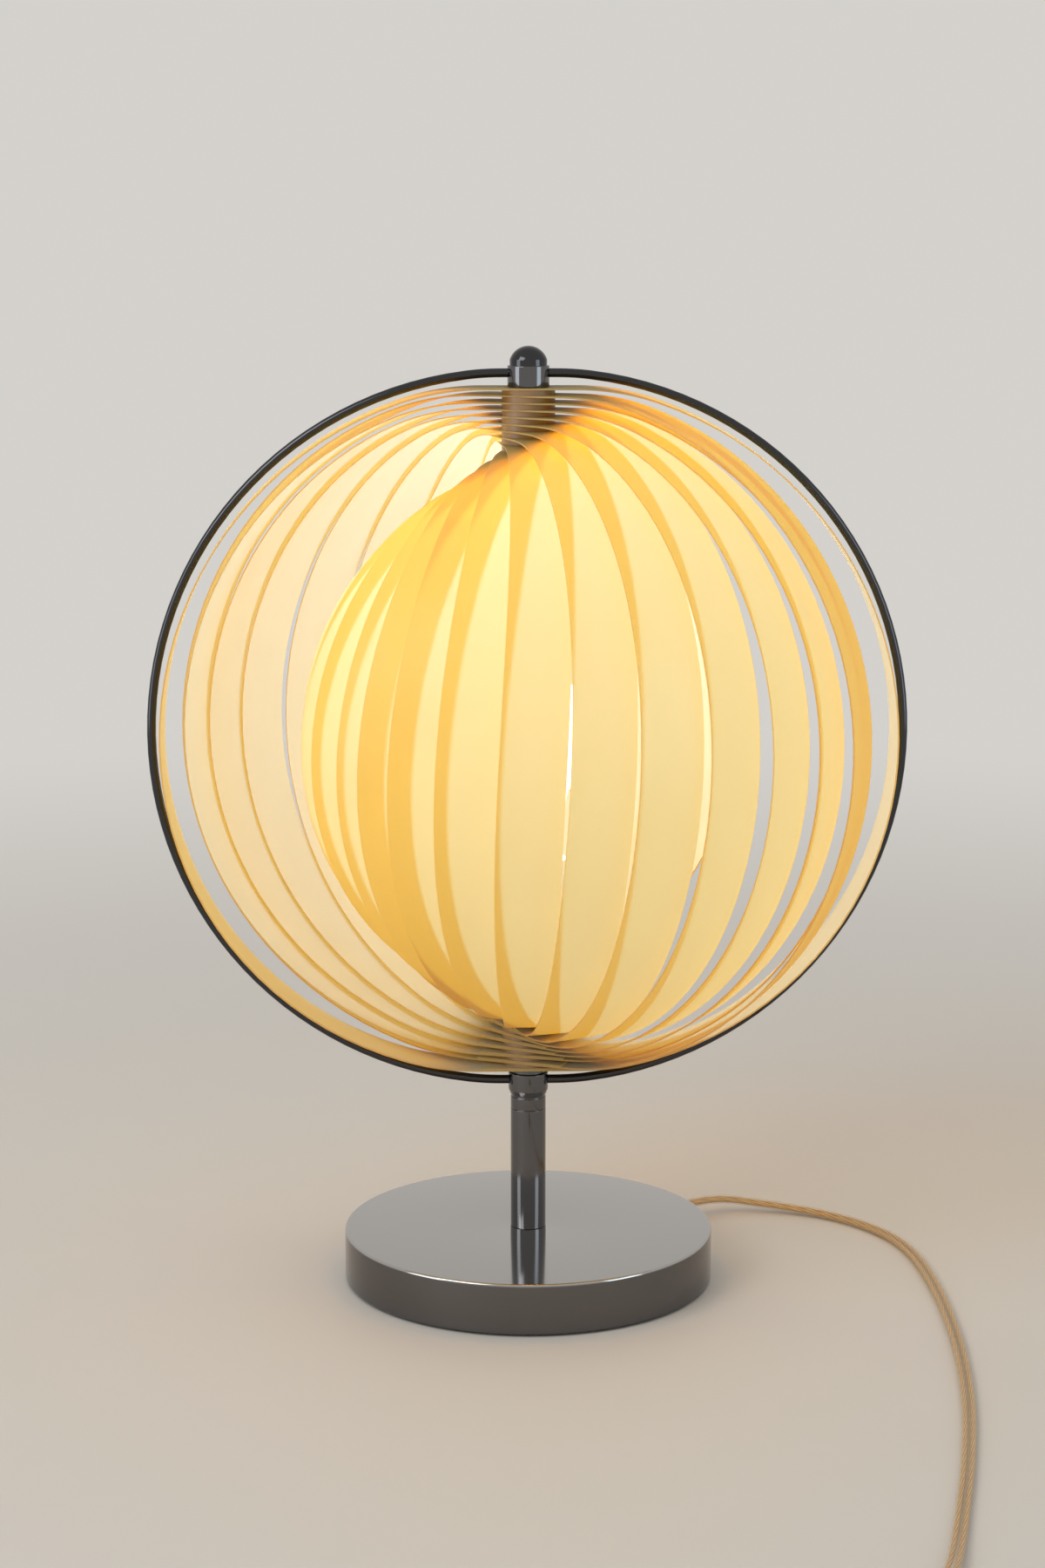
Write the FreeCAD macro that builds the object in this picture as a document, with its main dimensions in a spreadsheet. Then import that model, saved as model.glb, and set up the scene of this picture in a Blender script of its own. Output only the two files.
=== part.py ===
"""A table lamp: a heavy chromed base and stem, a wire ring, and a shade of nested strip hoops that turn.

Millimetres. The origin is the middle of the base's underside, Z is up, and the wire ring stands in the XZ
plane. Strip 1 is the outermost hoop and stays in that plane. The other hoops turn on the upright axis.
"""
import FreeCAD
import Part
import Sketcher
import math
import os
import re

Vector = FreeCAD.Vector
UP = Vector(0, 0, 1)
document = FreeCAD.newDocument("table_lamp")
sheet = document.addObject("Spreadsheet::Sheet", "sizes")

# Azimuth of each turning hoop, as it was left: 0 is square to the wire ring, 90 is in its plane
STRIP_ANGLES = [67.5, 72.8, 62.7, 52.6, 40.8, 28.5, 16.8, 4.1, -8, -18.7, -27.3, -35.2, -48, -60, -76]

# Driving sizes, in millimetres
SIZES = {
    # Base
    "base_radius": 84, "base_height": 24, "cover_wall": 1.6, "cover_lift": 1.2, "cover_round": 1.2,
    "foot_inset": 5, "foot_thickness": 1.5, "plate_thickness": 1.5, "plate_gap": 1.2,
    "weight_gap": 6.4, "pillar_radius": 5, "pillar_inset": 14,
    "screw_radius": 1.5, "screw_head_radius": 2.9, "head_recess": 0.1, "screw_reach": 5, "screw_end_gap": 0.5,
    # Cord entry
    "entry_angle": 45, "entry_lift": 0.2, "bushing_hole_radius": 4.4, "bushing_root_radius": 5.6,
    "bushing_lip": 0.6, "bushing_length": 22, "bushing_inside": 5,
    "grip_length": 9, "grip_width": 15, "wire_radius": 0.9, "wire_spread": 1.5, "wire_lift": 0.2,
    "wire_gap": 0.2, "wire_bend": 3,
    # Axis
    "tube_radius": 5, "tube_wall": 1.2, "tube_overhang": 1, "nut_width": 14, "nut_height": 3.4,
    "washer_radius": 9, "washer_thickness": 0.8, "pin_radius": 2.5, "pin_nut_width": 8, "pin_nut_height": 4,
    "pin_top_depth": 4.5, "pin_overhang": 1.5,
    # Stem and its fitting, from the base upwards
    "stem_radius": 8, "stem_wall": 1.3, "stem_length": 56, "groove_rise": 6, "groove_width": 0.8,
    "groove_depth": 0.5, "cone_length": 2.6, "collar_step": 1, "collar_length": 8, "neck_step": 0.5,
    "neck_length": 3,
    # Wire ring, which stands round the shade
    "ring_gap": 3.5, "ring_seat": 4.2, "ring_lift": 6.2, "ring_land": 12, "ring_shoulder_share": 0.8,
    "rod_radius": 2, "rod_stop": 0.6, "grub_radius": 1.25, "grub_inset": 1.5, "grub_sink": 0.2,
    # Top
    "barrel_radius": 9.25, "barrel_height": 9.5, "dome_step": 1, "dome_height": 8.5, "dome_side": 2.5,
    # Shade
    "shade_height": 307, "shade_half_width": 162.5,
    "strip_step": 4.3, "land_step": 3.1, "strip_thickness": 0.7, "strip_width": 28.3, "land_width": 24,
    "strip_bow": 0.088, "strip_lean": 0.049, "land_share": 0.13, "shoulder_share": 0.78,
    "spacer_radius": 11.75, "lap_inset": 0.5,
    # Light
    "holder_radius": 17, "holder_height": 44, "holder_wall": 1.5, "insert_height": 16,
    "sleeve_gap": 1.5, "sleeve_wall": 0.6, "contact_radius": 4.5, "contact_height": 1.5,
    "bulb_gap": 0.5, "bulb_radius": 30, "bulb_neck_step": 1, "bulb_waist_step": 4,
    "bulb_height": 85, "bulb_wall": 1, "filament_radius": 1.1,
    "filament_circle": 7, "filament_height": 34, "stalk_radius": 3.5, "stalk_height": 26,
    # Cord and what is on it
    "cord_radius": 3.2, "floor_gap": 0.1, "coil_mean_radius": 34.5, "coil_gap": 0.7, "coil_turns": 5,
    "switch_length": 58, "switch_width": 21, "switch_height": 17, "switch_round": 5, "switch_wall": 1.8,
    "switch_pillar": 2.6, "switch_screw": 1.1, "switch_screw_inset": 8,
    "rocker_length": 15, "rocker_width": 8, "rocker_height": 4.6, "rocker_sink": 1.5, "rocker_hollow": 0.8,
    "rocker_tilt": 8, "rocker_pivot": 1.2, "rocker_end_gap": 0.6, "rocker_side_gap": 0.3,
    "cheek_thickness": 1.5, "cheek_half_length": 3, "pivot_share": 0.8,
    "contact_bar_length": 20, "contact_bar_size": 2,
    "plug_length": 34, "plug_width": 34, "plug_round": 7, "plug_relief": 36, "plug_neck_radius": 6,
    "plug_pin_radius": 2.3, "plug_pin_length": 19, "plug_pin_spacing": 19,
    # Clearances, the overrun of a tool that cuts right through, and the bite of a pillar in its wall
    "slip": 0.05, "turn_gap": 0.06, "pivot_gap": 0.08, "loose": 0.4, "overrun": 1, "bite": 0.5,
}
STRIP_COUNT = 1 + len(STRIP_ANGLES)

# The cord's route over the table from the bushing's tip to the switch: plan places and heights
CORD_ROUTE = [
    (92, 92, 7.6), (121, 98, 5.4), (150, 88, 3.3), (171, 63, 3.3), (181, 25, 3.3), (185, -30, 3.3),
    (184, -95, 3.3), (178, -165, 3.3), (167, -232, 3.3), (155, -290, 3.3), (146, -331, 4.6),
    (136.4, -363.5, 8.5), (132.8, -378, 8.5)]
# Its route from the switch to the put-away coil
LEAD_ROUTE = [(114, -453.7, 8.5), (101.2, -469.1, 5.9), (83.1, -477.7, 3.3), (63.1, -477.7, 3.3)]

# Sizes that follow from the driving ones
DERIVED = {
    "cover_underside": "base_height - cover_wall",
    "cover_inner_radius": "base_radius - cover_wall",
    "foot_radius": "base_radius - foot_inset",
    "plate_top": "foot_thickness + plate_thickness",
    "plate_radius": "cover_inner_radius - plate_gap",
    "screw_head_height": "foot_thickness - head_recess",
    "wire_height": "plate_top + wire_lift + wire_radius",
    "tube_foot": "wire_height + wire_radius + wire_gap",
    "washer_foot": "tube_foot + tube_overhang + nut_height",
    "weight_foot": "washer_foot + washer_thickness",
    "weight_thickness": "cover_underside - weight_foot",
    "weight_radius": "cover_inner_radius - weight_gap",
    "pillar_circle": "weight_radius - pillar_inset",
    "entry_height": "plate_top + entry_lift + bushing_hole_radius",
    "bushing_tip_radius": "cord_radius + bushing_lip",
    "bushing_tip": "base_radius + bushing_length",
    "bushing_end": "cover_inner_radius - bushing_inside",
    "grip_end": "bushing_end - grip_length",
    "tube_hole": "tube_radius + slip",
    "tube_bore": "tube_radius - tube_wall",
    "stem_joint": "base_height + stem_length",
    "groove_height": "stem_joint + groove_rise",
    "cone_top": "groove_height + groove_width / 2 + cone_length",
    "collar_top": "cone_top + collar_length",
    "collar_radius": "stem_radius + collar_step",
    "neck_radius": "stem_radius - neck_step",
    "shade_foot": "collar_top + neck_length",
    "shade_top": "shade_foot + shade_height",
    "shade_middle": "shade_foot + shade_height / 2",
    "ring_foot": "cone_top + ring_seat",
    "ring_top": "shade_top + ring_lift",
    "ring_middle": "(ring_top + ring_foot) / 2",
    "ring_half_height": "(ring_top - ring_foot) / 2",
    "ring_half_width": "shade_half_width + ring_gap + rod_radius",
    "rod_hole": "rod_radius + slip",
    "rod_end": "tube_radius + rod_stop",
    "grub_offset": "rod_end + grub_inset",
    "inner_rise": f"{STRIP_COUNT - 1} * land_step",
    "lock_foot": "shade_foot + inner_rise + 2 * strip_thickness + turn_gap",
    "lock_top": "lock_foot + washer_thickness + nut_height",
    "insert_foot": "lock_top + holder_wall",
    "insert_top": "insert_foot + insert_height",
    "sleeve_radius": "holder_radius - holder_wall - sleeve_gap",
    "cap_radius": "sleeve_radius - sleeve_wall - loose",
    "cap_foot": "insert_top + contact_height",
    "bulb_foot": "lock_top + holder_height + bulb_gap",
    "cap_height": "bulb_foot - cap_foot",
    "bulb_neck_radius": "cap_radius + bulb_neck_step",
    "bulb_waist_radius": "bulb_neck_radius + bulb_waist_step",
    "bulb_centre": "bulb_foot + bulb_height - bulb_radius",
    "barrel_top": "shade_top + barrel_height",
    "dome_top": "barrel_top + dome_height",
    "dome_radius": "barrel_radius - dome_step",
    "pin_washer_foot": "shade_top - inner_rise - strip_thickness - turn_gap - washer_thickness",
    "pin_nut_foot": "pin_washer_foot - pin_nut_height",
    "pin_foot": "pin_nut_foot - pin_overhang",
    "pin_top": "barrel_top + pin_top_depth",
    "cord_pitch": "2 * cord_radius + coil_gap",
    "cord_height": "cord_radius + floor_gap",
    "switch_middle": "switch_height / 2",
    "pivot_height": "switch_height - switch_wall - rocker_pivot - cheek_thickness / 2",
    "cheek_place": "rocker_width / 2 + rocker_side_gap",
}
WORD = re.compile(r"[a-z][a-z_0-9]+")


def formula(text):
    """The same formula in the cells' own words, with each derived size spelt out in brackets."""
    def spell(match):
        word = match.group()
        if word in DERIVED:
            return "(" + formula(DERIVED[word]) + ")"
        return "sizes." + word if word in SIZES else word
    return WORD.sub(spell, text)


for row, (alias, value) in enumerate(SIZES.items(), start=1):
    sheet.set(f"A{row}", alias)
    sheet.set(f"B{row}", str(value))
    sheet.setAlias(f"B{row}", alias)
document.recompute()


def size(text):
    """The number that a formula gives, for the shapes that are worked out here."""
    return float(sheet.evalExpression(formula(text)))


# Sub-parts by the name that each one's file gets
sub_parts = {}


def keep(name, feature):
    """Make a feature or a body one of the lamp's sub-parts."""
    feature.Label = name
    sub_parts[name] = feature
    return feature


def make(kind, name, **formulas):
    """A new feature with its sizes tied to the sheet."""
    feature = document.addObject(kind, name)
    for quantity, text in formulas.items():
        feature.setExpression(quantity, formula(text))
    return feature


def place(feature, x="0", y="0", z="0", direction=UP):
    """Tie a feature's place to the sheet, with its own upright axis turned to a direction."""
    feature.Placement.Rotation = FreeCAD.Rotation(UP, direction)
    for letter, text in zip("xyz", (x, y, z)):
        if text != "0":
            feature.setExpression(f"Placement.Base.{letter}", formula(text))
    return feature


def cylinder(name, radius, height, **where):
    """A round bar."""
    return place(make("Part::Cylinder", name, Radius=radius, Height=height), **where)


def cone(name, root, tip, height, **where):
    """A round bar that tapers from its root to its tip."""
    return place(make("Part::Cone", name, Radius1=root, Radius2=tip, Height=height), **where)


def box(name, length, width, height, **where):
    """A square block from its low corner."""
    return place(make("Part::Box", name, Length=length, Width=width, Height=height), **where)


def cut(name, base, *tools):
    """One feature less others."""
    result = document.addObject("Part::Cut", name)
    result.Base = base
    result.Tool = tools[0] if len(tools) == 1 else fused(name + "_tools", *tools)
    return result


def fused(name, *pieces):
    """Several features made one."""
    result = document.addObject("Part::MultiFuse", name)
    result.Shapes = list(pieces)
    return result


def grouped(name, pieces):
    """Several like solids that stay apart in one sub-part."""
    result = document.addObject("Part::Compound", name)
    result.Links = list(pieces)
    return result


def washer(name, outer, inner, height, **where):
    """A flat ring: a disc with a round hole."""
    hole = cylinder(name + "_hole", inner, height, **where)
    return cut(name, cylinder(name + "_disc", outer, height, **where), hole)


def nut(name, width, bore, height, **where):
    """A hexagonal nut, given across its flats, with its bore."""
    blank = make("Part::Prism", name + "_blank", Circumradius=f"{width} / sqrt(3)", Height=height)
    blank.Polygon = 6
    return cut(name, place(blank, **where), cylinder(name + "_bore", bore, height, **where))


def own_plane(body, role):
    """One of a body's own three planes."""
    return [plane for plane in body.Origin.OriginFeatures if plane.Role == role][0]


def turned(name, *outline):
    """A body turned about the upright axis from its closed half outline.

    Each corner is a radius and a height. With a third word, "dome", the stretch that leads to that corner is
    an arc whose centre lies on the axis.
    """
    body = document.addObject("PartDesign::Body", name)
    sketch = body.newObject("Sketcher::SketchObject", name + "_outline")
    sketch.AttachmentSupport = (own_plane(body, "XZ_Plane"), [""])
    sketch.MapMode = "FlatFace"
    corners = [Vector(size(corner[0]), size(corner[1]), 0) for corner in outline]
    arrival = []
    for index, corner in enumerate(outline):
        start = corners[index - 1]
        end = corners[index]
        if corner[-1] == "dome":
            centre_height = (end.dot(end) - start.dot(start)) / (2 * (end.y - start.y))
            centre = Vector(0, centre_height, 0)
            radius = (start - centre).Length
            middle = centre + ((start + end) / 2 - centre).normalize() * radius
            sketch.addGeometry(Part.Arc(start, middle, end))
            sketch.addConstraint(Sketcher.Constraint("PointOnObject", index, 3, -2))
        else:
            sketch.addGeometry(Part.LineSegment(start, end))
        # A sketch keeps every arc anticlockwise, so either end of it may be the one at this corner
        arrival.append(2 if (sketch.getPoint(index, 2) - end).Length < 1e-6 else 1)
    for index in range(len(outline)):
        following = (index + 1) % len(outline)
        departure = 3 - arrival[following]
        joined = Sketcher.Constraint("Coincident", index, arrival[index], following, departure)
        sketch.addConstraint(joined)
    for index, corner in enumerate(outline):
        if corner[0] == "0":
            sketch.addConstraint(Sketcher.Constraint("PointOnObject", index, arrival[index], -2))
        else:
            tie(sketch, "DistanceX", index, arrival[index], corners[index].x, corner[0])
        tie(sketch, "DistanceY", index, arrival[index], corners[index].y, corner[1])
    revolution = body.newObject("PartDesign::Revolution", name + "_turned")
    revolution.Profile = sketch
    revolution.ReferenceAxis = (sketch, ["V_Axis"])
    revolution.Angle = 360
    sketch.Visibility = False
    return body


def tie(sketch, kind, index, end, number, text):
    """Hold one corner of a sketch at a distance from the origin that the sheet gives."""
    which = sketch.addConstraint(Sketcher.Constraint(kind, -1, 1, index, end, number))
    sketch.setExpression(f"Constraints[{which}]", formula(text))


def round_rim(body, radius, height, rounding):
    """Round the circular edge of a turned body that has this radius at this height."""
    document.recompute()
    sharp = body.Tip
    for number, edge in enumerate(sharp.Shape.Edges, start=1):
        curve = edge.Curve
        if not isinstance(curve, Part.Circle):
            continue
        if abs(curve.Radius - size(radius)) < 1e-6 and abs(curve.Center.z - size(height)) < 1e-6:
            fillet = body.newObject("PartDesign::Fillet", body.Name + "_round")
            fillet.Base = (sharp, [f"Edge{number}"])
            fillet.setExpression("Radius", formula(rounding))
            return body
    raise ValueError(f"{body.Name} has no rim of radius {radius} at height {height}")


def solid(name, shape, placement=None):
    """A sub-part whose shape is worked out here from the sheet's numbers."""
    feature = document.addObject("Part::Feature", name)
    feature.Shape = shape
    if placement is not None:
        feature.Placement = placement
    return keep(name, feature)


def arc_edge(start, heading, end):
    """The arc from one point to another that leaves the first along a heading."""
    chord = end - start
    sideways = heading - chord * (heading.dot(chord) / chord.dot(chord))
    half_turn = heading.getAngle(chord)
    rise = chord.Length / 2 * math.tan(half_turn / 2)
    if sideways.Length < 1e-9:
        return Part.LineSegment(start, end).toShape()
    return Part.Arc(start, (start + end) / 2 + sideways.normalize() * rise, end).toShape()


# How much of the shorter of its two runs a bend of a free route takes
BEND_SHARE = 0.45


def route_wire(points, bend=None):
    """Straight runs joined by tangent arcs, each as large as its two runs allow or of a given radius."""
    edges = []
    radii = []
    start = points[0]
    for before, corner, after in zip(points, points[1:], points[2:]):
        arriving = (corner - before).normalize()
        leaving = (after - corner).normalize()
        half_turn = arriving.getAngle(leaving) / 2
        reach = BEND_SHARE * min((corner - before).Length, (after - corner).Length)
        if bend is not None:
            reach = bend * math.tan(half_turn)
        radii.append(reach / math.tan(half_turn))
        edges.append(Part.LineSegment(start, corner - arriving * reach).toShape())
        start = corner + leaving * reach
        edges.append(arc_edge(corner - arriving * reach, arriving, start))
    edges.append(Part.LineSegment(start, points[-1]).toShape())
    return Part.Wire(edges), radii


def tube_along(wire, radius):
    """A round bar bent along a wire, with its volume checked against its section times its length."""
    first = wire.Edges[0]
    section = Part.Wire(Part.Circle(first.valueAt(first.FirstParameter),
                                    first.tangentAt(first.FirstParameter), radius).toShape())
    bar = wire.makePipeShell([section], True, False)
    wanted = math.pi * radius ** 2 * wire.Length
    if abs(bar.Volume - wanted) > 0.01 * wanted:
        raise ValueError(f"a bar of {wire.Length:.0f} mm has volume {bar.Volume:.0f}, not {wanted:.0f}")
    return bar


# Base
FOUR_SCREWS = [("pillar_circle", 105), ("pillar_circle", 225), ("pillar_circle", 345),
               ("bushing_end - grip_length / 2", SIZES["entry_angle"])]


def at_screws(build):
    """One feature at each of the base's four screws, given as a builder of a name and a place."""
    return [build(index, x=f"({circle}) * cos({angle} deg)", y=f"({circle}) * sin({angle} deg)")
            for index, (circle, angle) in enumerate(FOUR_SCREWS)]


ENTRY = Vector(math.cos(math.radians(size("entry_angle"))), math.sin(math.radians(size("entry_angle"))), 0)


def on_entry(distance):
    """The plan place at a distance from the axis, along the cord's entry."""
    return {"x": f"({distance}) * {ENTRY.x:.9f}", "y": f"({distance}) * {ENTRY.y:.9f}",
            "z": "entry_height", "direction": ENTRY}


cover = turned(
    "cover_shell", ("cover_inner_radius", "cover_lift"), ("base_radius", "cover_lift"),
    ("base_radius", "base_height"), ("tube_hole", "base_height"), ("tube_hole", "cover_underside"),
    ("cover_inner_radius", "cover_underside"))
round_rim(cover, "base_radius", "base_height", "cover_round")
entry_hole = cylinder("entry_hole", "bushing_hole_radius + slip", "cover_wall + 2 * overrun",
                      **on_entry("cover_inner_radius - overrun"))
keep("base_cover", cut("cover_with_entry", cover, entry_hole))

weight_disc = washer("weight_disc", "weight_radius", "tube_hole", "weight_thickness", z="weight_foot")
pillars = [cylinder(f"pillar_{number}", "pillar_radius", "weight_foot - plate_top + overrun",
                    x=f"pillar_circle * cos({angle} deg)", y=f"pillar_circle * sin({angle} deg)",
                    z="plate_top")
           for number, (circle, angle) in enumerate(FOUR_SCREWS[:3])]
weight_bores = [cylinder(f"pillar_bore_{number}", "screw_radius + slip", "screw_reach + overrun",
                         x=f"pillar_circle * cos({angle} deg)", y=f"pillar_circle * sin({angle} deg)",
                         z="plate_top - overrun")
                for number, (circle, angle) in enumerate(FOUR_SCREWS[:3])]
keep("base_weight", cut("weight", fused("weight_casting", weight_disc, *pillars), *weight_bores))

plate_holes = at_screws(lambda number, **spot: cylinder(
    f"plate_hole_{number}", "screw_radius + loose", "plate_thickness", z="foot_thickness", **spot))
plate_disc = cylinder("plate_disc", "plate_radius", "plate_thickness", z="foot_thickness")
keep("bottom_plate", cut("plate", plate_disc, *plate_holes))

foot_holes = at_screws(lambda number, **spot: cylinder(
    f"foot_hole_{number}", "screw_head_radius + loose", "foot_thickness", **spot))
keep("foot_pad", cut("foot", cylinder("foot_disc", "foot_radius", "foot_thickness"), *foot_holes))

screw_heads = at_screws(lambda number, **spot: cylinder(
    f"screw_head_{number}", "screw_head_radius", "screw_head_height",
    z="foot_thickness - screw_head_height", **spot))
screw_shanks = at_screws(lambda number, **spot: cylinder(
    f"screw_shank_{number}", "screw_radius", "plate_thickness + screw_reach - slip - screw_end_gap",
    z="foot_thickness", **spot))
keep("base_screws", grouped("screws", [fused(f"screw_{number}", head, shank) for number, (head, shank)
                                       in enumerate(zip(screw_heads, screw_shanks))]))

# Cord entry: the bushing tapers outwards, and the grip behind it holds the cord's two wires
keep("cord_bushing", fused(
    "bushing",
    cone("bushing_taper", "bushing_root_radius", "bushing_tip_radius", "bushing_length",
         **on_entry("base_radius")),
    cylinder("bushing_shank", "bushing_hole_radius", "base_radius - bushing_end", **on_entry("bushing_end"))))

entry_turn = FreeCAD.Rotation(UP, size("entry_angle"))
grip_block = Part.makeBox(size("grip_length"), size("grip_width"), size("weight_foot - plate_top - slip"),
                          Vector(size("grip_end"), -size("grip_width") / 2, size("plate_top")))
grip_bore = Part.makeCylinder(size("screw_radius + slip"), size("screw_reach"),
                              Vector(size("bushing_end - grip_length / 2"), 0, size("plate_top")))
solid("cord_grip", grip_block.cut(grip_bore), FreeCAD.Placement(Vector(), entry_turn))

wires = []
for side in (-1, 1):
    across = side * size("wire_spread")
    low = size("wire_height")
    corner_points = [Vector(size("grip_end"), across, low), Vector(0, across, low),
                     Vector(0, across, size("insert_foot"))]
    wires.append(tube_along(route_wire(corner_points, size("wire_bend"))[0], size("wire_radius")))
solid("inner_wires", Part.Compound(wires), FreeCAD.Placement(Vector(), entry_turn))

# Axis: a hollow threaded tube below, a solid pin above
keep("threaded_tube", washer("tube", "tube_radius", "tube_bore", "insert_foot - slip - tube_foot",
                             z="tube_foot"))
keep("base_washer", washer("base_washer_ring", "washer_radius", "tube_hole", "washer_thickness",
                           z="washer_foot"))
keep("base_nut", nut("base_nut_ring", "nut_width", "tube_hole", "nut_height", z="washer_foot - nut_height"))
keep("lock_washer", washer("lock_washer_ring", "washer_radius", "tube_hole", "washer_thickness",
                           z="lock_foot"))
keep("lock_nut", nut("lock_nut_ring", "nut_width", "tube_hole", "nut_height",
                     z="lock_foot + washer_thickness"))
keep("top_pin", cylinder("pin", "pin_radius", "pin_top - pin_foot", z="pin_foot"))
keep("pin_washer", washer("pin_washer_ring", "washer_radius", "pin_radius + slip", "washer_thickness",
                          z="pin_washer_foot"))
keep("pin_nut", nut("pin_nut_ring", "pin_nut_width", "pin_radius + slip", "pin_nut_height", z="pin_nut_foot"))

# Stem and its fitting
keep("stem_tube", washer("stem", "stem_radius", "stem_radius - stem_wall", "stem_joint - base_height",
                         z="base_height"))
groove_low = "groove_height - groove_width / 2"
groove_high = "groove_height + groove_width / 2"
fitting = turned(
    "fitting", ("tube_hole", "stem_joint"), ("stem_radius", "stem_joint"), ("stem_radius", groove_low),
    ("stem_radius - groove_depth", groove_low), ("stem_radius - groove_depth", groove_high),
    ("stem_radius", groove_high), ("collar_radius", "cone_top"), ("collar_radius", "collar_top"),
    ("neck_radius", "collar_top"), ("neck_radius", "shade_foot"), ("tube_hole", "shade_foot"))


def rod_holes(name, body, radius, height):
    """Cut the hole that the ring's two ends enter, and the two holes of the screws that hold them."""
    bore = cylinder(name + "_rod_bore", "rod_hole", f"2 * {radius} + 2 * overrun",
                    x=f"-{radius} - overrun", z=height, direction=Vector(1, 0, 0))
    grub_bores = [cylinder(f"{name}_grub_bore_{number}", "grub_radius + slip", radius, x=place_x, z=height,
                           direction=Vector(0, -1, 0))
                  for number, place_x in enumerate(("grub_offset", "-grub_offset"))]
    return cut(name + "_bored", body, bore, *grub_bores)


keep("stem_collar", rod_holes("collar", fitting, "collar_radius", "ring_foot"))

# Top: the barrel that holds the ring's upper ends, and the dome screwed over it
barrel = turned(
    "barrel", ("pin_radius + slip", "shade_top"), ("barrel_radius", "shade_top"),
    ("barrel_radius", "barrel_top"), ("pin_radius + slip", "barrel_top"))
keep("top_barrel", rod_holes("barrel", barrel, "barrel_radius", "ring_top"))
keep("dome_cap", turned(
    "dome", ("dome_radius", "barrel_top"), ("dome_radius", "barrel_top + dome_side"),
    ("0", "dome_top", "dome"), ("0", "pin_top + slip"), ("pin_radius + slip", "pin_top + slip"),
    ("pin_radius + slip", "barrel_top")))

grub_screws = []
for radius, height in (("collar_radius", "ring_foot"), ("barrel_radius", "ring_top")):
    for place_x in ("grub_offset", "-grub_offset"):
        outer_end = f"sqrt({radius} ^ 2 - grub_offset ^ 2) - grub_sink"
        grub_screws.append(cylinder(
            f"grub_{len(grub_screws)}", "grub_radius", f"{outer_end} - rod_hole", x=place_x,
            y="-rod_hole", z=height, direction=Vector(0, -1, 0)))
keep("grub_screws", grouped("grubs", grub_screws))


# Ovals: the wire ring and every hoop have the same kind of outline
class Oval:
    """An oval in the XZ plane, of flat lands, shoulder arcs and side arcs that are all tangent.

    The shoulder's centre stands over the land's end, and the side's centre on the level through the middle.
    The arcs at the ends of the longer half axis are the tighter ones, and their radius is a share of the
    shorter half axis. The other radius follows from the two arcs having to touch from inside.
    """

    def __init__(self, half_width, half_height, land, share, level):
        self.half_height = half_height
        self.half_width = half_width
        self.land = land
        self.level = level
        reach = half_width - land
        shorter, longer = sorted((reach, half_height))
        tight = share * shorter
        wide = (shorter ** 2 + longer ** 2 - 2 * longer * tight) / (2 * (shorter - tight))
        self.shoulder, self.side = (tight, wide) if half_height > reach else (wide, tight)
        apart = self.side - self.shoulder
        self.tilt = math.atan2((half_height - self.shoulder) / apart, (self.side - reach) / apart)

    def point(self, x, z):
        """A point of the oval's plane, from its middle."""
        return Vector(x, 0, self.level + z)

    def half_edges(self, inward=0):
        """The edges of the right half from top to bottom without the lands, drawn inwards by a wall."""
        shoulder = self.shoulder - inward
        side = self.side - inward
        top = self.half_height - inward

        def on_shoulder(angle):
            return (self.land + shoulder * math.cos(angle),
                    self.half_height - self.shoulder + shoulder * math.sin(angle))

        joint = on_shoulder(self.tilt)
        halfway = on_shoulder((self.tilt + math.pi / 2) / 2)
        mirrored = [(x, -z) for x, z in (joint, halfway)]
        tip = (self.half_width - self.side + side, 0)
        trios = (((self.land, top), halfway, joint), (joint, tip, mirrored[0]),
                 (mirrored[0], mirrored[1], (self.land, -top)))
        return [Part.Arc(*(self.point(*pair) for pair in trio)).toShape() for trio in trios]

    def face(self, inward=0):
        """The whole oval as a flat face."""
        right = self.half_edges(inward)
        mirror = FreeCAD.Matrix(-1, 0, 0, 0, 0, 1, 0, 0, 0, 0, 1, 0, 0, 0, 0, 1)
        left = [edge.transformGeometry(mirror) for edge in right]
        top = self.half_height - inward
        lands = [Part.LineSegment(self.point(-self.land, z), self.point(self.land, z)).toShape()
                 for z in (top, -top)]
        return Part.Face(Part.Wire(Part.__sortEdges__(right + left + lands)))


ring = Oval(size("ring_half_width"), size("ring_half_height"), size("ring_land"),
            size("ring_shoulder_share"), size("ring_middle"))
half_ring = Part.Wire(
    [Part.LineSegment(ring.point(size("rod_end"), ring.half_height),
                      ring.point(ring.land, ring.half_height)).toShape()]
    + ring.half_edges()
    + [Part.LineSegment(ring.point(ring.land, -ring.half_height),
                        ring.point(size("rod_end"), -ring.half_height)).toShape()])
rod_section = Part.Face(Part.Wire(Part.Circle(half_ring.Edges[0].valueAt(0), Vector(1, 0, 0),
                                              size("rod_radius")).toShape()))
half_ring_bar = half_ring.makePipe(rod_section)
solid("ring_right", half_ring_bar)
solid("ring_left", half_ring_bar, FreeCAD.Placement(Vector(), FreeCAD.Rotation(UP, 180)))

# Shade. A strip's edge is drawn through its places at these shares of the half height, and its bow and lean
# fade out towards the lands with this power
EDGE_LEVELS = (-1, -0.92, -0.75, -0.4, 0, 0.4, 0.75, 0.92, 1)
FADE_POWER = 0.75


def strip_oval(number):
    """The outline of a hoop's outer face; number 1 is the outermost hoop."""
    half_width = size(f"shade_half_width - {number - 1} * strip_step")
    half_height = size(f"shade_height / 2 - {number - 1} * land_step")
    land = half_width * size("land_share")
    return Oval(half_width, half_height, land, size("shoulder_share"), size("shade_middle"))


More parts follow.
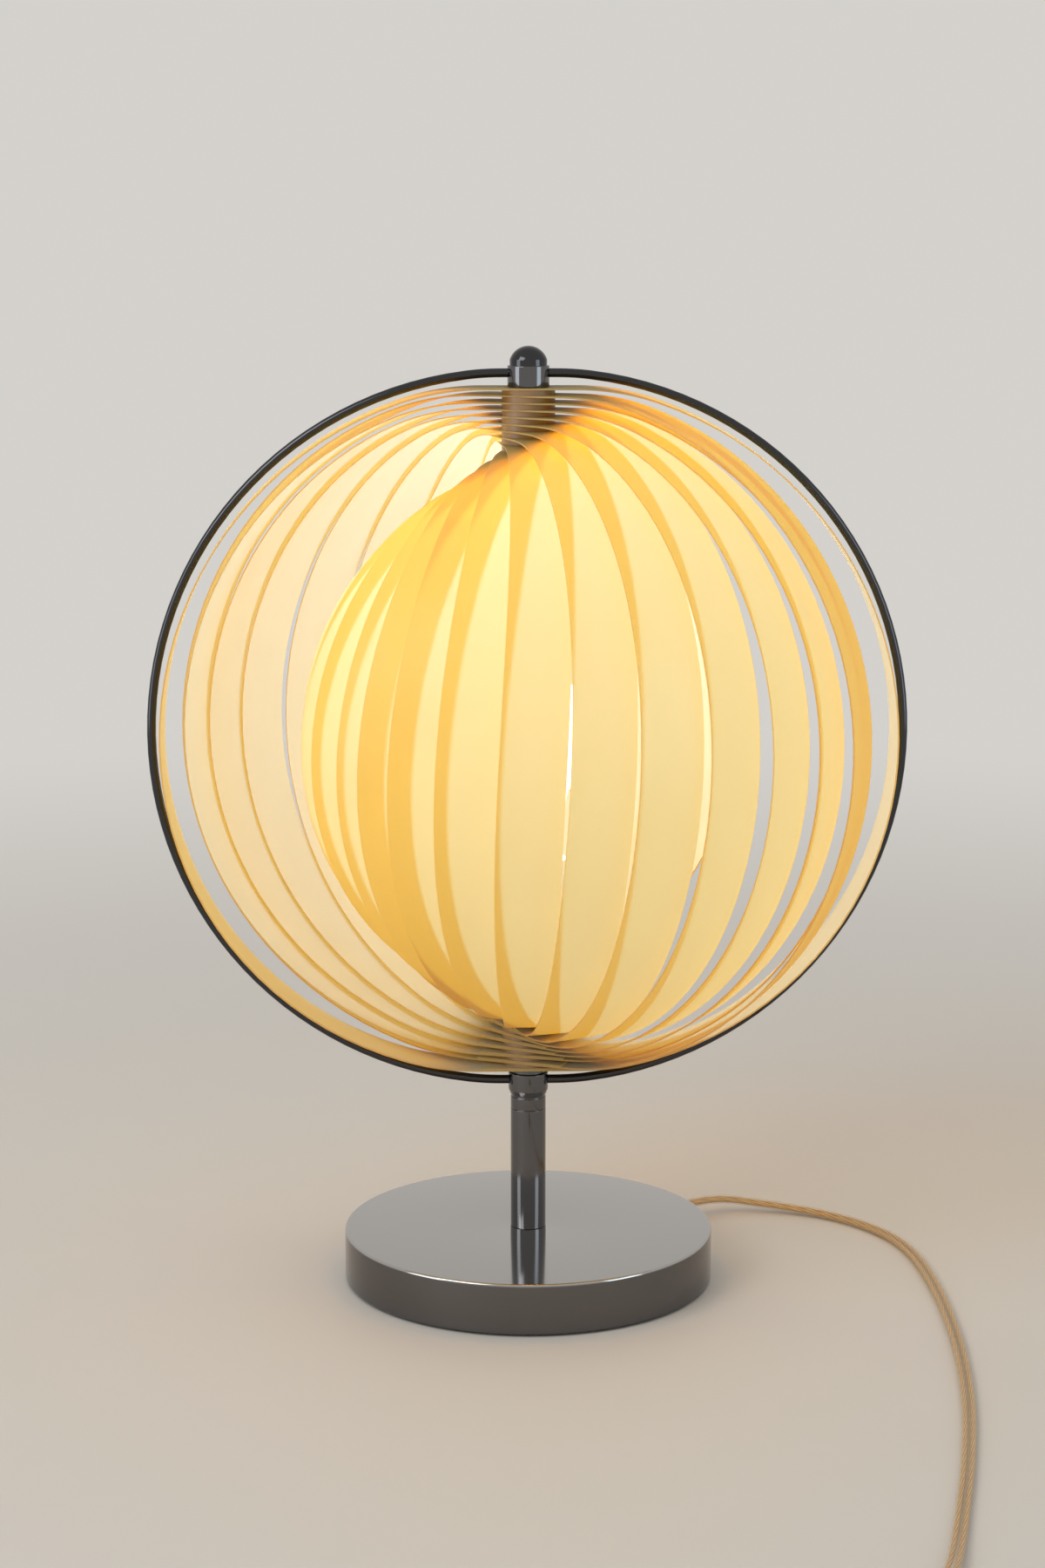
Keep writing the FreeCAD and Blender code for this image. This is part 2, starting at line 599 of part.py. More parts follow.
def strip_edge(oval, side, share):
    """How far a hoop's edge stands to one side at a share of its half height.

    The strip is narrower at its lands than at the middle, bows to one side by a share of the hoop's half
    width, and leans with the height; bow and lean fade out towards the lands.
    """
    fade = (1 - share ** 2) ** FADE_POWER
    width = size("strip_width") + (size("land_width") - size("strip_width")) * share ** 2
    bow = size("strip_bow") * oval.half_width
    return side * width / 2 - bow * fade + size("strip_lean") * share * oval.half_height * fade


def strip_outline(oval):
    """The strip's outline as seen along the hoop's width, carried through the whole hoop."""
    beyond = 2 * size("strip_thickness")
    reach = oval.half_width + beyond
    edges = {}
    for side in (-1, 1):
        curve = Part.BSplineCurve()
        curve.interpolate([Vector(-reach, strip_edge(oval, side, share),
                                  oval.level + share * oval.half_height) for share in EDGE_LEVELS])
        edges[side] = curve.toShape()
    lines = []
    for end in (-1, 1):
        height = oval.level + end * oval.half_height
        corners = [Vector(-reach, across * size("land_width") / 2, height + raised * end * beyond)
                   for across, raised in ((-1, 0), (-1, 1), (1, 1), (1, 0))]
        lines += [Part.LineSegment(start, finish).toShape()
                  for start, finish in zip(corners, corners[1:])]
    outline = Part.Wire(Part.__sortEdges__(lines + list(edges.values())))
    return Part.Face(outline).extrude(Vector(2 * reach, 0, 0))


def strip_hoop(number):
    """A thin strip bent into a hoop, with its ends lapped inside the lower land, and a hole at each pole."""
    oval = strip_oval(number)
    thickness = size("strip_thickness")
    half_depth = size("strip_width") + size("strip_bow") * oval.half_width
    band = oval.face().cut(oval.face(thickness)).extrude(Vector(0, 2 * half_depth, 0))
    band.translate(Vector(0, -half_depth, 0))
    hoop = band.common(strip_outline(oval))
    lap_length = oval.land - size("lap_inset")
    foot = oval.level - oval.half_height
    lap = Part.makeBox(2 * lap_length, size("land_width"), thickness,
                       Vector(-lap_length, -size("land_width") / 2, foot + thickness))
    pin_hole = Part.makeCylinder(size("pin_radius + turn_gap"), 4 * thickness,
                                 Vector(0, 0, oval.level + oval.half_height - 2 * thickness))
    tube_hole = Part.makeCylinder(size("tube_radius + turn_gap"), 4 * thickness,
                                  Vector(0, 0, foot - thickness))
    hoop = hoop.fuse(lap).cut(pin_hole).cut(tube_hole)
    return hoop.Solids[0]


for number, angle in enumerate([90] + STRIP_ANGLES, start=1):
    solid(f"strip_{number:02d}", strip_hoop(number),
          FreeCAD.Placement(Vector(), FreeCAD.Rotation(UP, angle - 90)))

# A spacer fills each gap between neighbouring lands; the lower gaps are less by the lapped ends
gaps = range(1, STRIP_COUNT)
upper_spacers = [washer(f"upper_spacer_{gap}", "spacer_radius", "pin_radius + slip",
                        "land_step - strip_thickness - 2 * turn_gap",
                        z=f"shade_top - {gap} * land_step + turn_gap") for gap in gaps]
lower_spacers = [washer(f"lower_spacer_{gap}", "spacer_radius", "tube_hole",
                        "land_step - 2 * strip_thickness - 2 * turn_gap",
                        z=f"shade_foot + {gap - 1} * land_step + 2 * strip_thickness + turn_gap")
                 for gap in gaps]
keep("upper_spacers", grouped("upper_spacer_stack", upper_spacers))
keep("lower_spacers", grouped("lower_spacer_stack", lower_spacers))

# Light: the lampholder on the tube's top, and the bulb in it
keep("holder_shell", turned(
    "holder", ("tube_hole", "lock_top"), ("holder_radius", "lock_top"),
    ("holder_radius", "lock_top + holder_height"),
    ("holder_radius - holder_wall", "lock_top + holder_height"),
    ("holder_radius - holder_wall", "insert_foot"), ("tube_hole", "insert_foot")))
keep("holder_insert", cylinder("insert", "holder_radius - holder_wall - slip", "insert_height",
                               z="insert_foot"))
keep("centre_contact", cylinder("contact", "contact_radius", "contact_height", z="insert_top"))
keep("threaded_sleeve", washer("sleeve", "sleeve_radius", "sleeve_radius - sleeve_wall",
                               "lock_top + holder_height - insert_top - 2 * slip", z="insert_top"))
keep("bulb_cap", cylinder("cap", "cap_radius", "cap_height", z="cap_foot"))
inner_neck = "bulb_neck_radius - bulb_wall"
inner_waist = "bulb_waist_radius - bulb_wall"
inner_globe = "bulb_radius - bulb_wall"
keep("bulb_glass", turned(
    "globe", ("bulb_neck_radius", "bulb_foot"),
    ("bulb_waist_radius", "bulb_centre - sqrt(bulb_radius ^ 2 - bulb_waist_radius ^ 2)"),
    ("0", "bulb_centre + bulb_radius", "dome"), ("0", f"bulb_centre + {inner_globe}"),
    (inner_waist, f"bulb_centre - sqrt(({inner_globe}) ^ 2 - ({inner_waist}) ^ 2)", "dome"),
    (inner_neck, "bulb_foot")))
filaments = [cylinder(f"filament_{number}", "filament_radius", "filament_height",
                      x=f"filament_circle * cos({90 * number} deg)",
                      y=f"filament_circle * sin({90 * number} deg)", z="bulb_foot + stalk_height")
             for number in range(4)]
spider = cylinder("spider", "filament_circle + 2 * filament_radius", "stalk_radius / 2",
                  z="bulb_foot + stalk_height - stalk_radius / 2")
stalk = cylinder("stalk", "stalk_radius", "stalk_height", z="bulb_foot")
keep("bulb_filament", fused("filament_frame", stalk, spider, *filaments))

# Cord
cord_radius = size("cord_radius")
cord_start = ENTRY * size("bushing_tip") + UP * size("entry_height")
cord_points = [cord_start] + [Vector(*point) for point in CORD_ROUTE]
cord_wire, cord_radii = route_wire(cord_points)
solid("mains_cord", tube_along(cord_wire, cord_radius))
print("cord bends, mm:", [round(radius) for radius in cord_radii], "length", round(cord_wire.Length))


def heading_of(start, end):
    """A placement at the second point whose X runs on along the line from the first, level with the table."""
    angle = math.degrees(math.atan2(end.y - start.y, end.x - start.x))
    return FreeCAD.Placement(Vector(end.x, end.y, 0), FreeCAD.Rotation(UP, angle))


switch_place = heading_of(cord_points[-2], cord_points[-1])
switch_far = switch_place.multVec(Vector(size("switch_length"), 0, size("switch_middle")))
lead_points = [switch_far] + [Vector(*point) for point in LEAD_ROUTE]
lead_wire, lead_radii = route_wire(lead_points)
solid("coil_lead", tube_along(lead_wire, cord_radius))
print("lead bends, mm:", [round(radius) for radius in lead_radii], "length", round(lead_wire.Length))


def coil_point(turns):
    """The coil's line after so many turns, from its outer end on the table.

    It winds clockwise and inwards in the lower layer and outwards in the upper one. The radius falls by a
    pitch a turn up to the middle and rises again, with a parabola over the half turn where it reverses; the
    height climbs one pitch in that half turn as 3 s squared less 2 s cubed.
    """
    pitch = size("cord_pitch")
    inner_radius = size("coil_mean_radius") - pitch * size("coil_turns") / 4
    past = 2 * math.pi * (turns - size("coil_turns") / 2)
    bend = abs(past) if abs(past) > math.pi / 2 else past ** 2 / math.pi + math.pi / 4
    radius = inner_radius + pitch * bend / (2 * math.pi)
    climb = min(max(past / math.pi + 0.5, 0), 1)
    angle = -2 * math.pi * turns
    return Vector(radius * math.cos(angle), radius * math.sin(angle),
                  size("cord_height") + pitch * (3 * climb ** 2 - 2 * climb ** 3))


def coil_heading(turns):
    """The direction of the coil's line."""
    step = 1e-4
    return (coil_point(turns + step) - coil_point(turns - step)).normalize()


def biarc(start, start_heading, end, end_heading):
    """Two arcs that leave and reach two points along given headings, and meet halfway with one tangent."""
    chord = end - start
    both = start_heading + end_heading
    spread = 2 * (1 - start_heading.dot(end_heading))
    along = chord.dot(both)
    reach = (math.sqrt(along ** 2 + spread * chord.dot(chord)) - along) / spread
    meeting = (start + start_heading * reach + end - end_heading * reach) / 2
    first = arc_edge(start, start_heading, meeting)
    return [first, arc_edge(meeting, first.tangentAt(first.LastParameter), end)]


quarters = [quarter / 4 for quarter in range(int(4 * size("coil_turns")) + 1)]
straight_end = 2 * cord_radius
coil_edges = [Part.LineSegment(coil_point(0) - coil_heading(0) * straight_end, coil_point(0)).toShape()]
for before, after in zip(quarters, quarters[1:]):
    coil_edges += biarc(coil_point(before), coil_heading(before), coil_point(after), coil_heading(after))
coil_end = coil_point(quarters[-1]) + coil_heading(quarters[-1]) * straight_end
coil_edges.append(Part.LineSegment(coil_point(quarters[-1]), coil_end).toShape())
coil_wire = Part.Wire(coil_edges)

# The coil is turned and carried so that its first straight end goes on from the lead
lead_direction = lead_points[-1] - lead_points[-2]
first_heading = coil_heading(0)
coil_turn = FreeCAD.Rotation(UP, math.degrees(math.atan2(lead_direction.y, lead_direction.x)
                                              - math.atan2(first_heading.y, first_heading.x)))
coil_start = coil_turn.multVec(coil_point(0) - first_heading * straight_end)
coil_place = FreeCAD.Placement(lead_points[-1] - coil_start, coil_turn)
coil_bar = tube_along(coil_wire, cord_radius)
solid("cord_coil", coil_bar, coil_place)

# How near the coil comes to itself, from points this far apart on it and three widths or more along it
SAMPLE_STEP = 3
samples = coil_wire.discretize(Distance=SAMPLE_STEP)
apart = int(6 * cord_radius / SAMPLE_STEP) + 1
least = min((samples[i] - samples[j]).Length
            for i in range(len(samples)) for j in range(i + apart, len(samples)))
print("coil length", round(coil_wire.Length), "least gap to itself:", round(least - 2 * cord_radius, 2))

# Switch on the cord: two shells screwed together, a rocker on its pivot, two contact bars
length = "switch_length"
wall = "switch_wall"
half_width = "switch_width / 2"


def rounded_block(name, height, z):
    """A block of the switch's length and width with its four upright edges rounded."""
    block = box(name + "_block", length, "switch_width", height, y=f"-{half_width}", z=z)
    document.recompute()
    upright = [number for number, edge in enumerate(block.Shape.Edges, start=1)
               if abs(edge.tangentAt(edge.FirstParameter).z) > 0.99]
    fillet = document.addObject("Part::Fillet", name)
    fillet.Base = block
    fillet.Edges = [(number, size("switch_round"), size("switch_round")) for number in upright]
    return fillet


def screw_places(name, radius, height, z):
    """A round bar at each of the switch's two screws."""
    return [cylinder(f"{name}_{number}", radius, height, x=place_x, z=z)
            for number, place_x in enumerate(("switch_screw_inset", f"{length} - switch_screw_inset"))]


def hollow(name, height, z):
    """The space inside one of the switch's shells."""
    return box(name, f"{length} - 2 * {wall}", f"switch_width - 2 * {wall}", height, x=wall,
               y=f"{wall} - {half_width}", z=z)


lower_tub = cut("lower_tub", rounded_block("lower_shell", "switch_middle", "0"),
                hollow("lower_hollow", f"switch_middle - {wall}", wall))
lower_pillars = screw_places("lower_pillar", "switch_pillar", f"switch_middle - {wall} + bite",
                             f"{wall} - bite")
lower = cut("lower_bored", fused("lower_solid", lower_tub, *lower_pillars),
            *screw_places("lower_bore", "switch_screw + slip", "switch_middle", "0"),
            *screw_places("lower_sink", "2 * switch_screw + slip", "switch_screw + slip", "0"))
keep("switch_base", lower).Placement = switch_place

upper_hollow = hollow("upper_hollow", f"switch_middle - {wall}", "switch_middle")
window = box("window", "rocker_length + 2 * rocker_end_gap", "2 * cheek_place", "2 * switch_wall",
             x="switch_length / 2 - rocker_length / 2 - rocker_end_gap", y="-cheek_place",
             z="switch_height - 1.5 * switch_wall")
upper_tub = cut("upper_tub", rounded_block("upper_shell", "switch_middle", "switch_middle"), upper_hollow,
                window)
cheeks = [box(f"cheek_{number}", "2 * cheek_half_length", "cheek_thickness",
              "switch_height - pivot_height + cheek_half_length - switch_wall / 2",
              x="switch_length / 2 - cheek_half_length", y=place_y, z="pivot_height - cheek_half_length")
          for number, place_y in enumerate(("cheek_place", "-cheek_place - cheek_thickness"))]
upper_pillars = screw_places("upper_pillar", "switch_pillar", f"switch_middle - {wall} + bite",
                             "switch_middle")
pivot_bore = cylinder("pivot_bore", "rocker_pivot + pivot_gap", "switch_width - 2 * switch_wall",
                      x="switch_length / 2", y="switch_wall - switch_width / 2", z="pivot_height",
                      direction=Vector(0, 1, 0))
upper = cut("upper_bored", fused("upper_solid", upper_tub, *upper_pillars, *cheeks), pivot_bore,
            *screw_places("upper_bore", "switch_screw + slip", "switch_middle - 2 * switch_wall",
                          "switch_middle"))
keep("switch_cover", upper).Placement = switch_place

switch_screw_pieces = [
    fused(f"switch_screw_{number}", head, shank)
    for number, (head, shank) in enumerate(zip(
        screw_places("switch_screw_head", "2 * switch_screw", "switch_screw", "0"),
        screw_places("switch_screw_shank", "switch_screw",
                     "switch_height - 2 * switch_wall - slip - screw_end_gap", "0")))]
keep("switch_screws", grouped("switch_screw_pair", switch_screw_pieces)).Placement = switch_place
contact_bars = [box(f"contact_bar_{number}", "contact_bar_length", "contact_bar_size", "contact_bar_size",
                    x="switch_length / 2 - contact_bar_length / 2", y=place_y, z=wall)
                for number, place_y in enumerate(("2 * contact_bar_size", "-3 * contact_bar_size"))]
keep("switch_contacts", grouped("contact_pair", contact_bars)).Placement = switch_place

half_length = size("rocker_length / 2")
below = -size("rocker_sink")
above = size("rocker_height")
half_rocker = size("rocker_width / 2")
profile = [Vector(x, -half_rocker, z) for x, z in (
    (-half_length, below), (half_length, below), (half_length, above), (0, above - size("rocker_hollow")),
    (-half_length, above), (-half_length, below))]
rocker_blade = Part.Face(Part.makePolygon(profile)).extrude(Vector(0, 2 * half_rocker, 0))
pivot_length = size("2 * cheek_place + 2 * pivot_share * cheek_thickness")
rocker_pin = Part.makeCylinder(size("rocker_pivot"), pivot_length, Vector(0, -pivot_length / 2, 0),
                               Vector(0, 1, 0))
pivot_place = switch_place.multiply(FreeCAD.Placement(
    Vector(size("switch_length / 2"), 0, size("pivot_height")),
    FreeCAD.Rotation(Vector(0, 1, 0), size("rocker_tilt"))))
solid("switch_rocker", rocker_blade.fuse(rocker_pin).removeSplitter(), pivot_place)

# Plug: a rounded body moulded over the cord's end, and two round pins
plug_end = coil_place.multVec(coil_end)
plug_from = coil_place.multVec(coil_point(quarters[-1]))
plug_place = heading_of(plug_from, plug_end)
plug_middle = plug_end.z
plug_width = size("plug_width")
plug_body = Part.makeBox(size("plug_length"), plug_width, 2 * plug_middle - 2 * size("floor_gap"),
                         Vector(size("plug_relief"), -plug_width / 2, size("floor_gap")))
upright_edges = [edge for edge in plug_body.Edges if abs(edge.tangentAt(edge.FirstParameter).z) > 0.99]
plug_body = plug_body.makeFillet(size("plug_round"), upright_edges)
plug_relief = Part.makeCone(cord_radius + size("loose"), size("plug_neck_radius"), size("plug_relief"),
                            Vector(0, 0, plug_middle), Vector(1, 0, 0))
solid("plug_body", plug_body.fuse(plug_relief).removeSplitter(), plug_place)
plug_face = size("plug_relief + plug_length")
solid("plug_pins", Part.Compound([
    Part.makeCylinder(size("plug_pin_radius"), size("plug_pin_length"),
                      Vector(plug_face, side * size("plug_pin_spacing") / 2, plug_middle), Vector(1, 0, 0))
    for side in (-1, 1)]), plug_place)
print("pivot of the rocker:", [round(value, 3) for value in pivot_place.Base],
      "axis:", [round(value, 6) for value in switch_place.Rotation.multVec(Vector(0, 1, 0))])

# Every feature is sound before anything is written
document.recompute()
for feature in document.Objects:
    if {"Invalid", "Error"} & set(feature.State):
        raise RuntimeError(f"{feature.Label} is {feature.State}")
for name, feature in sub_parts.items():
    if feature.Shape.isNull() or not feature.Shape.isValid() or not feature.Shape.Solids:
        raise RuntimeError(f"{name} has no sound solid")
os.makedirs("parts", exist_ok=True)
for name, feature in sub_parts.items():
    feature.Shape.exportStep(f"parts/{name}.step")
solid_count = sum(len(feature.Shape.Solids) for feature in sub_parts.values())
print(len(sub_parts), "sub-parts,", solid_count, "solids")
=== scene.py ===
# %% [markdown]
# # A table lamp whose shade is made of turning hoops
#
# The real lamp is a heavy chromed disc, a short stem and a wire ring. In the ring, sixteen thin ivory strips
# are bent into hoops, one inside the other, on one upright axis. The mechanics come as a fixed frame from
# the CAD model. This notebook puts smooth, well finished surfaces round that frame, lights the lamp and sets
# the camera.

# %% Load the frame
import math

import bpy
import numpy as np
from mathutils import Matrix, Vector


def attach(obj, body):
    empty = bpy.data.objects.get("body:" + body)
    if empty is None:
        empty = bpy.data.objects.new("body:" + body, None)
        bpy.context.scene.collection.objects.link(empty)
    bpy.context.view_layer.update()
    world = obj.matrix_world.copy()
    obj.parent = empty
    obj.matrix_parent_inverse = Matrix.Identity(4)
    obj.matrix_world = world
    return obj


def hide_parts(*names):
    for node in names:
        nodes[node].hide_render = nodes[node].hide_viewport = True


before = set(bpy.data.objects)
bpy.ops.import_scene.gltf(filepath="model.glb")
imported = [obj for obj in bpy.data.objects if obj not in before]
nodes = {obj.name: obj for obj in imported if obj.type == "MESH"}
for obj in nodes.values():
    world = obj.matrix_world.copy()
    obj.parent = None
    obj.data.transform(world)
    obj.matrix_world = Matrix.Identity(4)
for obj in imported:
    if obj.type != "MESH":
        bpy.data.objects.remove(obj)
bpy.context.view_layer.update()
MM = 0.001
print("CAD nodes:", len(nodes))

# %% [markdown]
# ## Camera
#
# The lamp was photographed from a little above its middle, with a long lens, nearly square to the wire ring.
# A camera could be placed by eye, but these are the distance, height, tilt and lens at which the ellipse of
# the base and the outline of the ring lie as they do in the photograph. The camera stands on a ray that is
# turned slightly from the ring's own front.

# %% Camera
CAMERA_DISTANCE = 1.4565
CAMERA_HEIGHT = 0.5039
CAMERA_ASIDE = -0.0026
CAMERA_PITCH = math.radians(10.653)
CAMERA_SWING = math.radians(-1.526)
LENS_MM = 75.92

camera_data = bpy.data.cameras.new("camera")
camera_data.lens = LENS_MM
camera_data.clip_end = 50
camera = bpy.data.objects.new("camera", camera_data)
bpy.context.scene.collection.objects.link(camera)
camera.matrix_world = (Matrix.Rotation(CAMERA_SWING, 4, "Z")
                       @ Matrix.Translation((CAMERA_ASIDE, -CAMERA_DISTANCE, CAMERA_HEIGHT))
                       @ Matrix.Rotation(math.pi / 2 - CAMERA_PITCH, 4, "X"))
bpy.context.scene.camera = camera
print("camera at", [round(value, 3) for value in camera.matrix_world.translation])

# %% [markdown]
# ## Meshes from arrays
#
# Every new surface is worked out with numpy as an array of points on a grid. Blender's modelling tools could
# make the same shapes, but a formula gives each point an exact place and is easy to change. The helpers
# below join neighbouring points into faces and hand the arrays to Blender in one go, which is far quicker
# than adding vertices one by one.

# %% Faces of a grid


def grid_faces(rows, columns, closed_rows=False, closed_columns=False):
    """Faces (i, j), (i+1, j), (i+1, j+1), (i, j+1) of a grid of points that are numbered row by row."""
    i = np.arange(rows if closed_rows else rows - 1)[:, None]
    j = np.arange(columns if closed_columns else columns - 1)[None, :]
    next_i = (i + 1) % rows
    next_j = (j + 1) % columns
    corners = [i * columns + j, next_i * columns + j, next_i * columns + next_j, i * columns + next_j]
    return np.stack(np.broadcast_arrays(*corners), -1)


print("a grid of 3 by 4 points has", len(grid_faces(3, 4).reshape(-1, 4)), "faces")

# %% A mesh from points and faces
SHARP_DEGREES = 35


def build(name, points, faces, uv=None):
    """A mesh object from points in metres and faces, smooth apart from its sharp edges.

    Points that no face uses are left out. The texture coordinates uv are one pair for each point.
    """
    points = np.asarray(points, float).reshape(-1, 3)
    used = np.unique(np.concatenate([np.ravel(face) for face in faces]))
    renumber = np.zeros(len(points), int)
    renumber[used] = np.arange(len(used))
    mesh = bpy.data.meshes.new(name)
    mesh.from_pydata(points[used].tolist(), [], [renumber[np.asarray(face)].tolist() for face in faces])
    mesh.polygons.foreach_set("use_smooth", np.ones(len(mesh.polygons), bool))
    if uv is not None:
        corner_points = np.zeros(len(mesh.loops), int)
        mesh.loops.foreach_get("vertex_index", corner_points)
        layer = mesh.uv_layers.new(name="UVMap")
        layer.data.foreach_set("uv", np.asarray(uv, float).reshape(-1, 2)[used][corner_points].ravel())
    mesh.set_sharp_from_angle(angle=math.radians(SHARP_DEGREES))
    mesh.validate()
    piece = bpy.data.objects.new(name, mesh)
    bpy.context.scene.collection.objects.link(piece)
    return piece


print("edges that turn by more than", SHARP_DEGREES, "degrees stay sharp")

# %% [markdown]
# ## Bars along a path
#
# The cord and the wire ring are both one section carried along a line. A curve with a bevel could make them,
# but an array leaves the section free, keeps it upright, and gives a UV map that follows the length.

# %% Sections and sweeps


def circle(radius, sides):
    """(r cos a, r sin a) at equal steps."""
    angle = np.linspace(0, 2 * math.pi, sides, endpoint=False)
    return np.stack([radius * np.cos(angle), radius * np.sin(angle)], -1)


def tangents_of(path):
    """Unit directions along a path from the points on either side."""
    steps = np.gradient(path, axis=0)
    return steps / np.linalg.norm(steps, axis=1, keepdims=True)


def swept(path, section, up):
    """Points p + a side + b rise for each point p of the path and (a, b) of the section.

    The side is the tangent crossed with up, and the rise is the side crossed with the tangent.
    """
    tangent = tangents_of(path)
    side = np.cross(tangent, up)
    side /= np.linalg.norm(side, axis=1, keepdims=True)
    rise = np.cross(side, tangent)
    return path[:, None] + section[None, :, :1] * side[:, None] + section[None, :, 1:] * rise[:, None]


def capped_sweep(name, path, section, up, along_uv=False):
    """A closed bar: the section carried along the path, with a flat face over each end.

    With along_uv, u goes once round the section and v is the distance along the path.
    """
    points = swept(path, section, up)
    rows, columns = points.shape[:2]
    quads = grid_faces(rows, columns, False, True)[..., ::-1].reshape(-1, 4).tolist()
    first = list(range(columns))
    last = [(rows - 1) * columns + j for j in reversed(range(columns))]
    uv = None
    if along_uv:
        run = np.concatenate([[0], np.cumsum(np.linalg.norm(np.diff(path, axis=0), axis=1))])
        around = np.arange(columns) / columns
        uv = np.stack(np.broadcast_arrays(around[None, :], run[:, None]), -1)
    return build(name, points, quads + [first, last], uv=uv)


print("a circle of 4 sides:", circle(1, 4).round(3).tolist())

# %% [markdown]
# ## The cord
#
# The cord is a clear flat two-core lead. Its line is one smooth NURBS curve through its whole length: out of
# the base, over the floor, through the in-line switch, and round the put-away coil to the plug. The coil
# could be a piece of its own, but then the lead would meet it with a kink. So the coil's turns are control
# points of the same curve.

# %% The cord's route
CORD_WIDTH = 6.4
CORD_THICK = 3.4
CORD_GAP = 0.1
FLOOR_HEIGHT = CORD_THICK / 2 + CORD_GAP
ROUTE = [(74.95, 74.95, 7.6), (91, 91, 7.4), (118, 91, 3.6), (147, 80, FLOOR_HEIGHT),
         (169, 56, FLOOR_HEIGHT), (181, 25, FLOOR_HEIGHT), (185, -30, FLOOR_HEIGHT),
         (184, -95, FLOOR_HEIGHT), (178, -165, FLOOR_HEIGHT), (167, -232, FLOOR_HEIGHT),
         (155, -290, FLOOR_HEIGHT), (146, -331, 3.2), (136.4, -363.5, 8.5), (132.8, -378, 8.5),
         (118.8, -434.3, 8.5), (114, -453.7, 8.5), (101.2, -469.1, 4.6), (83.1, -477.7, FLOOR_HEIGHT),
         (63.1, -477.7, FLOOR_HEIGHT)]
print("route:", len(ROUTE), "points from the base to the coil")

# %% [markdown]
# The coil has five turns in two layers. Placed by hand, its turns would lie unevenly, so the control points
# come from a formula for the radius and the height.

# %% The coil
COIL_TURNS = 5
COIL_RADIUS = 34.5
COIL_PITCH = 7.1
COIL_FOOT = (56.7, -477.7)
POINTS_A_TURN = 16
LAST_RISE = 0.375
PLUG_CORD_HEIGHT = 10.4
PLUG_CORD_END = 50.3


def eased(share):
    """3 s^2 - 2 s^3, which runs from 0 to 1 and is level at both ends."""
    return 3 * share ** 2 - 2 * share ** 3


def coil_points():
    """The coil's control points after t turns: radius r0 + pitch |t - 2.5| and angle -pi/2 - 2 pi t.

    The lower layer winds inwards on the floor, and the upper one lies on it and winds outwards. Over the
    half turn where it reverses, the distance |t - 2.5| is rounded to 2 (t - 2.5)^2 + 1/8, and the height
    climbs by one thickness. The last three eighths of a turn rise to the plug.
    """
    turns = np.arange(1, COIL_TURNS * POINTS_A_TURN + 1) / POINTS_A_TURN
    past = turns - COIL_TURNS / 2
    inner = COIL_RADIUS - COIL_PITCH * COIL_TURNS / 4
    distance = np.where(np.abs(past) > 0.25, np.abs(past), 2 * past ** 2 + 0.125)
    radius = inner + COIL_PITCH * distance
    climb = np.clip(2 * past + 0.5, 0, 1)
    rise = np.clip((turns - COIL_TURNS + LAST_RISE) / LAST_RISE, 0, 1)
    upper = FLOOR_HEIGHT + CORD_THICK + CORD_GAP
    height = FLOOR_HEIGHT + (upper - FLOOR_HEIGHT) * eased(climb)
    height = height + (PLUG_CORD_HEIGHT - upper) * eased(rise)
    outer = inner + COIL_PITCH * COIL_TURNS / 2
    angle = -math.pi / 2 - 2 * math.pi * turns
    centre = np.array([COIL_FOOT[0], COIL_FOOT[1] + outer])
    return np.stack([centre[0] + radius * np.cos(angle), centre[1] + radius * np.sin(angle), height], -1)


coil = coil_points()
print("coil:", len(coil), "points, up to", round(coil[:, 2].max(), 1), "mm high")

# %% [markdown]
# Blender has NURBS curves of its own, so nothing has to be worked out here. The curve is made, its points
# are read from the mesh that Blender turns it into, and then it is removed.

# %% The cord's line


def spline_points(points, resolution=8):
    """Points on the NURBS curve of order 3 whose control points these are, in metres."""
    data = bpy.data.curves.new("cord_line", "CURVE")
    data.dimensions = "3D"
    data.resolution_u = resolution
    spline = data.splines.new("NURBS")
    spline.points.add(len(points) - 1)
    weights = np.ones((len(points), 1))
    spline.points.foreach_set("co", np.concatenate([np.asarray(points) * MM, weights], 1).ravel())
    spline.order_u = 3
    spline.use_endpoint_u = True
    holder = bpy.data.objects.new("cord_line", data)
    bpy.context.scene.collection.objects.link(holder)
    mesh = bpy.data.meshes.new_from_object(holder)
    line = np.zeros(len(mesh.vertices) * 3)
    mesh.vertices.foreach_get("co", line)
    bpy.data.objects.remove(holder)
    bpy.data.meshes.remove(mesh)
    return line.reshape(-1, 3)


control = np.concatenate([ROUTE, coil, [(PLUG_CORD_END, COIL_FOOT[1], PLUG_CORD_HEIGHT)]])
cord_line = spline_points(control)
cord_length = np.linalg.norm(np.diff(cord_line, axis=0), axis=1).sum()
print("cord:", len(control), "control points,", len(cord_line), "points,", round(cord_length, 3), "m")

# %% [markdown]
# The lead's section has two round lobes with a groove between them, and one core of fine copper strands in
# each. One mesh with a picture of the cores on it would look flat from close by. So the clear sheath and the
# golden cores are separate meshes on the same line, and the cores show through the sheath.

# %% The cord's sheath and cores
LOBE_RADIUS = CORD_THICK / 2
LOBE_PLACE = CORD_WIDTH / 2 - LOBE_RADIUS
CORE_RADIUS = 1.05


def twin_section(sides=9):
    """Two arcs of one radius round (p, 0) and (-p, 0), each open over its quarter turn towards the other."""
    angle = np.linspace(-0.75 * math.pi, 0.75 * math.pi, sides)
    right = np.stack([LOBE_PLACE + LOBE_RADIUS * np.cos(angle), LOBE_RADIUS * np.sin(angle)], -1)
    return np.concatenate([right, -right]) * MM


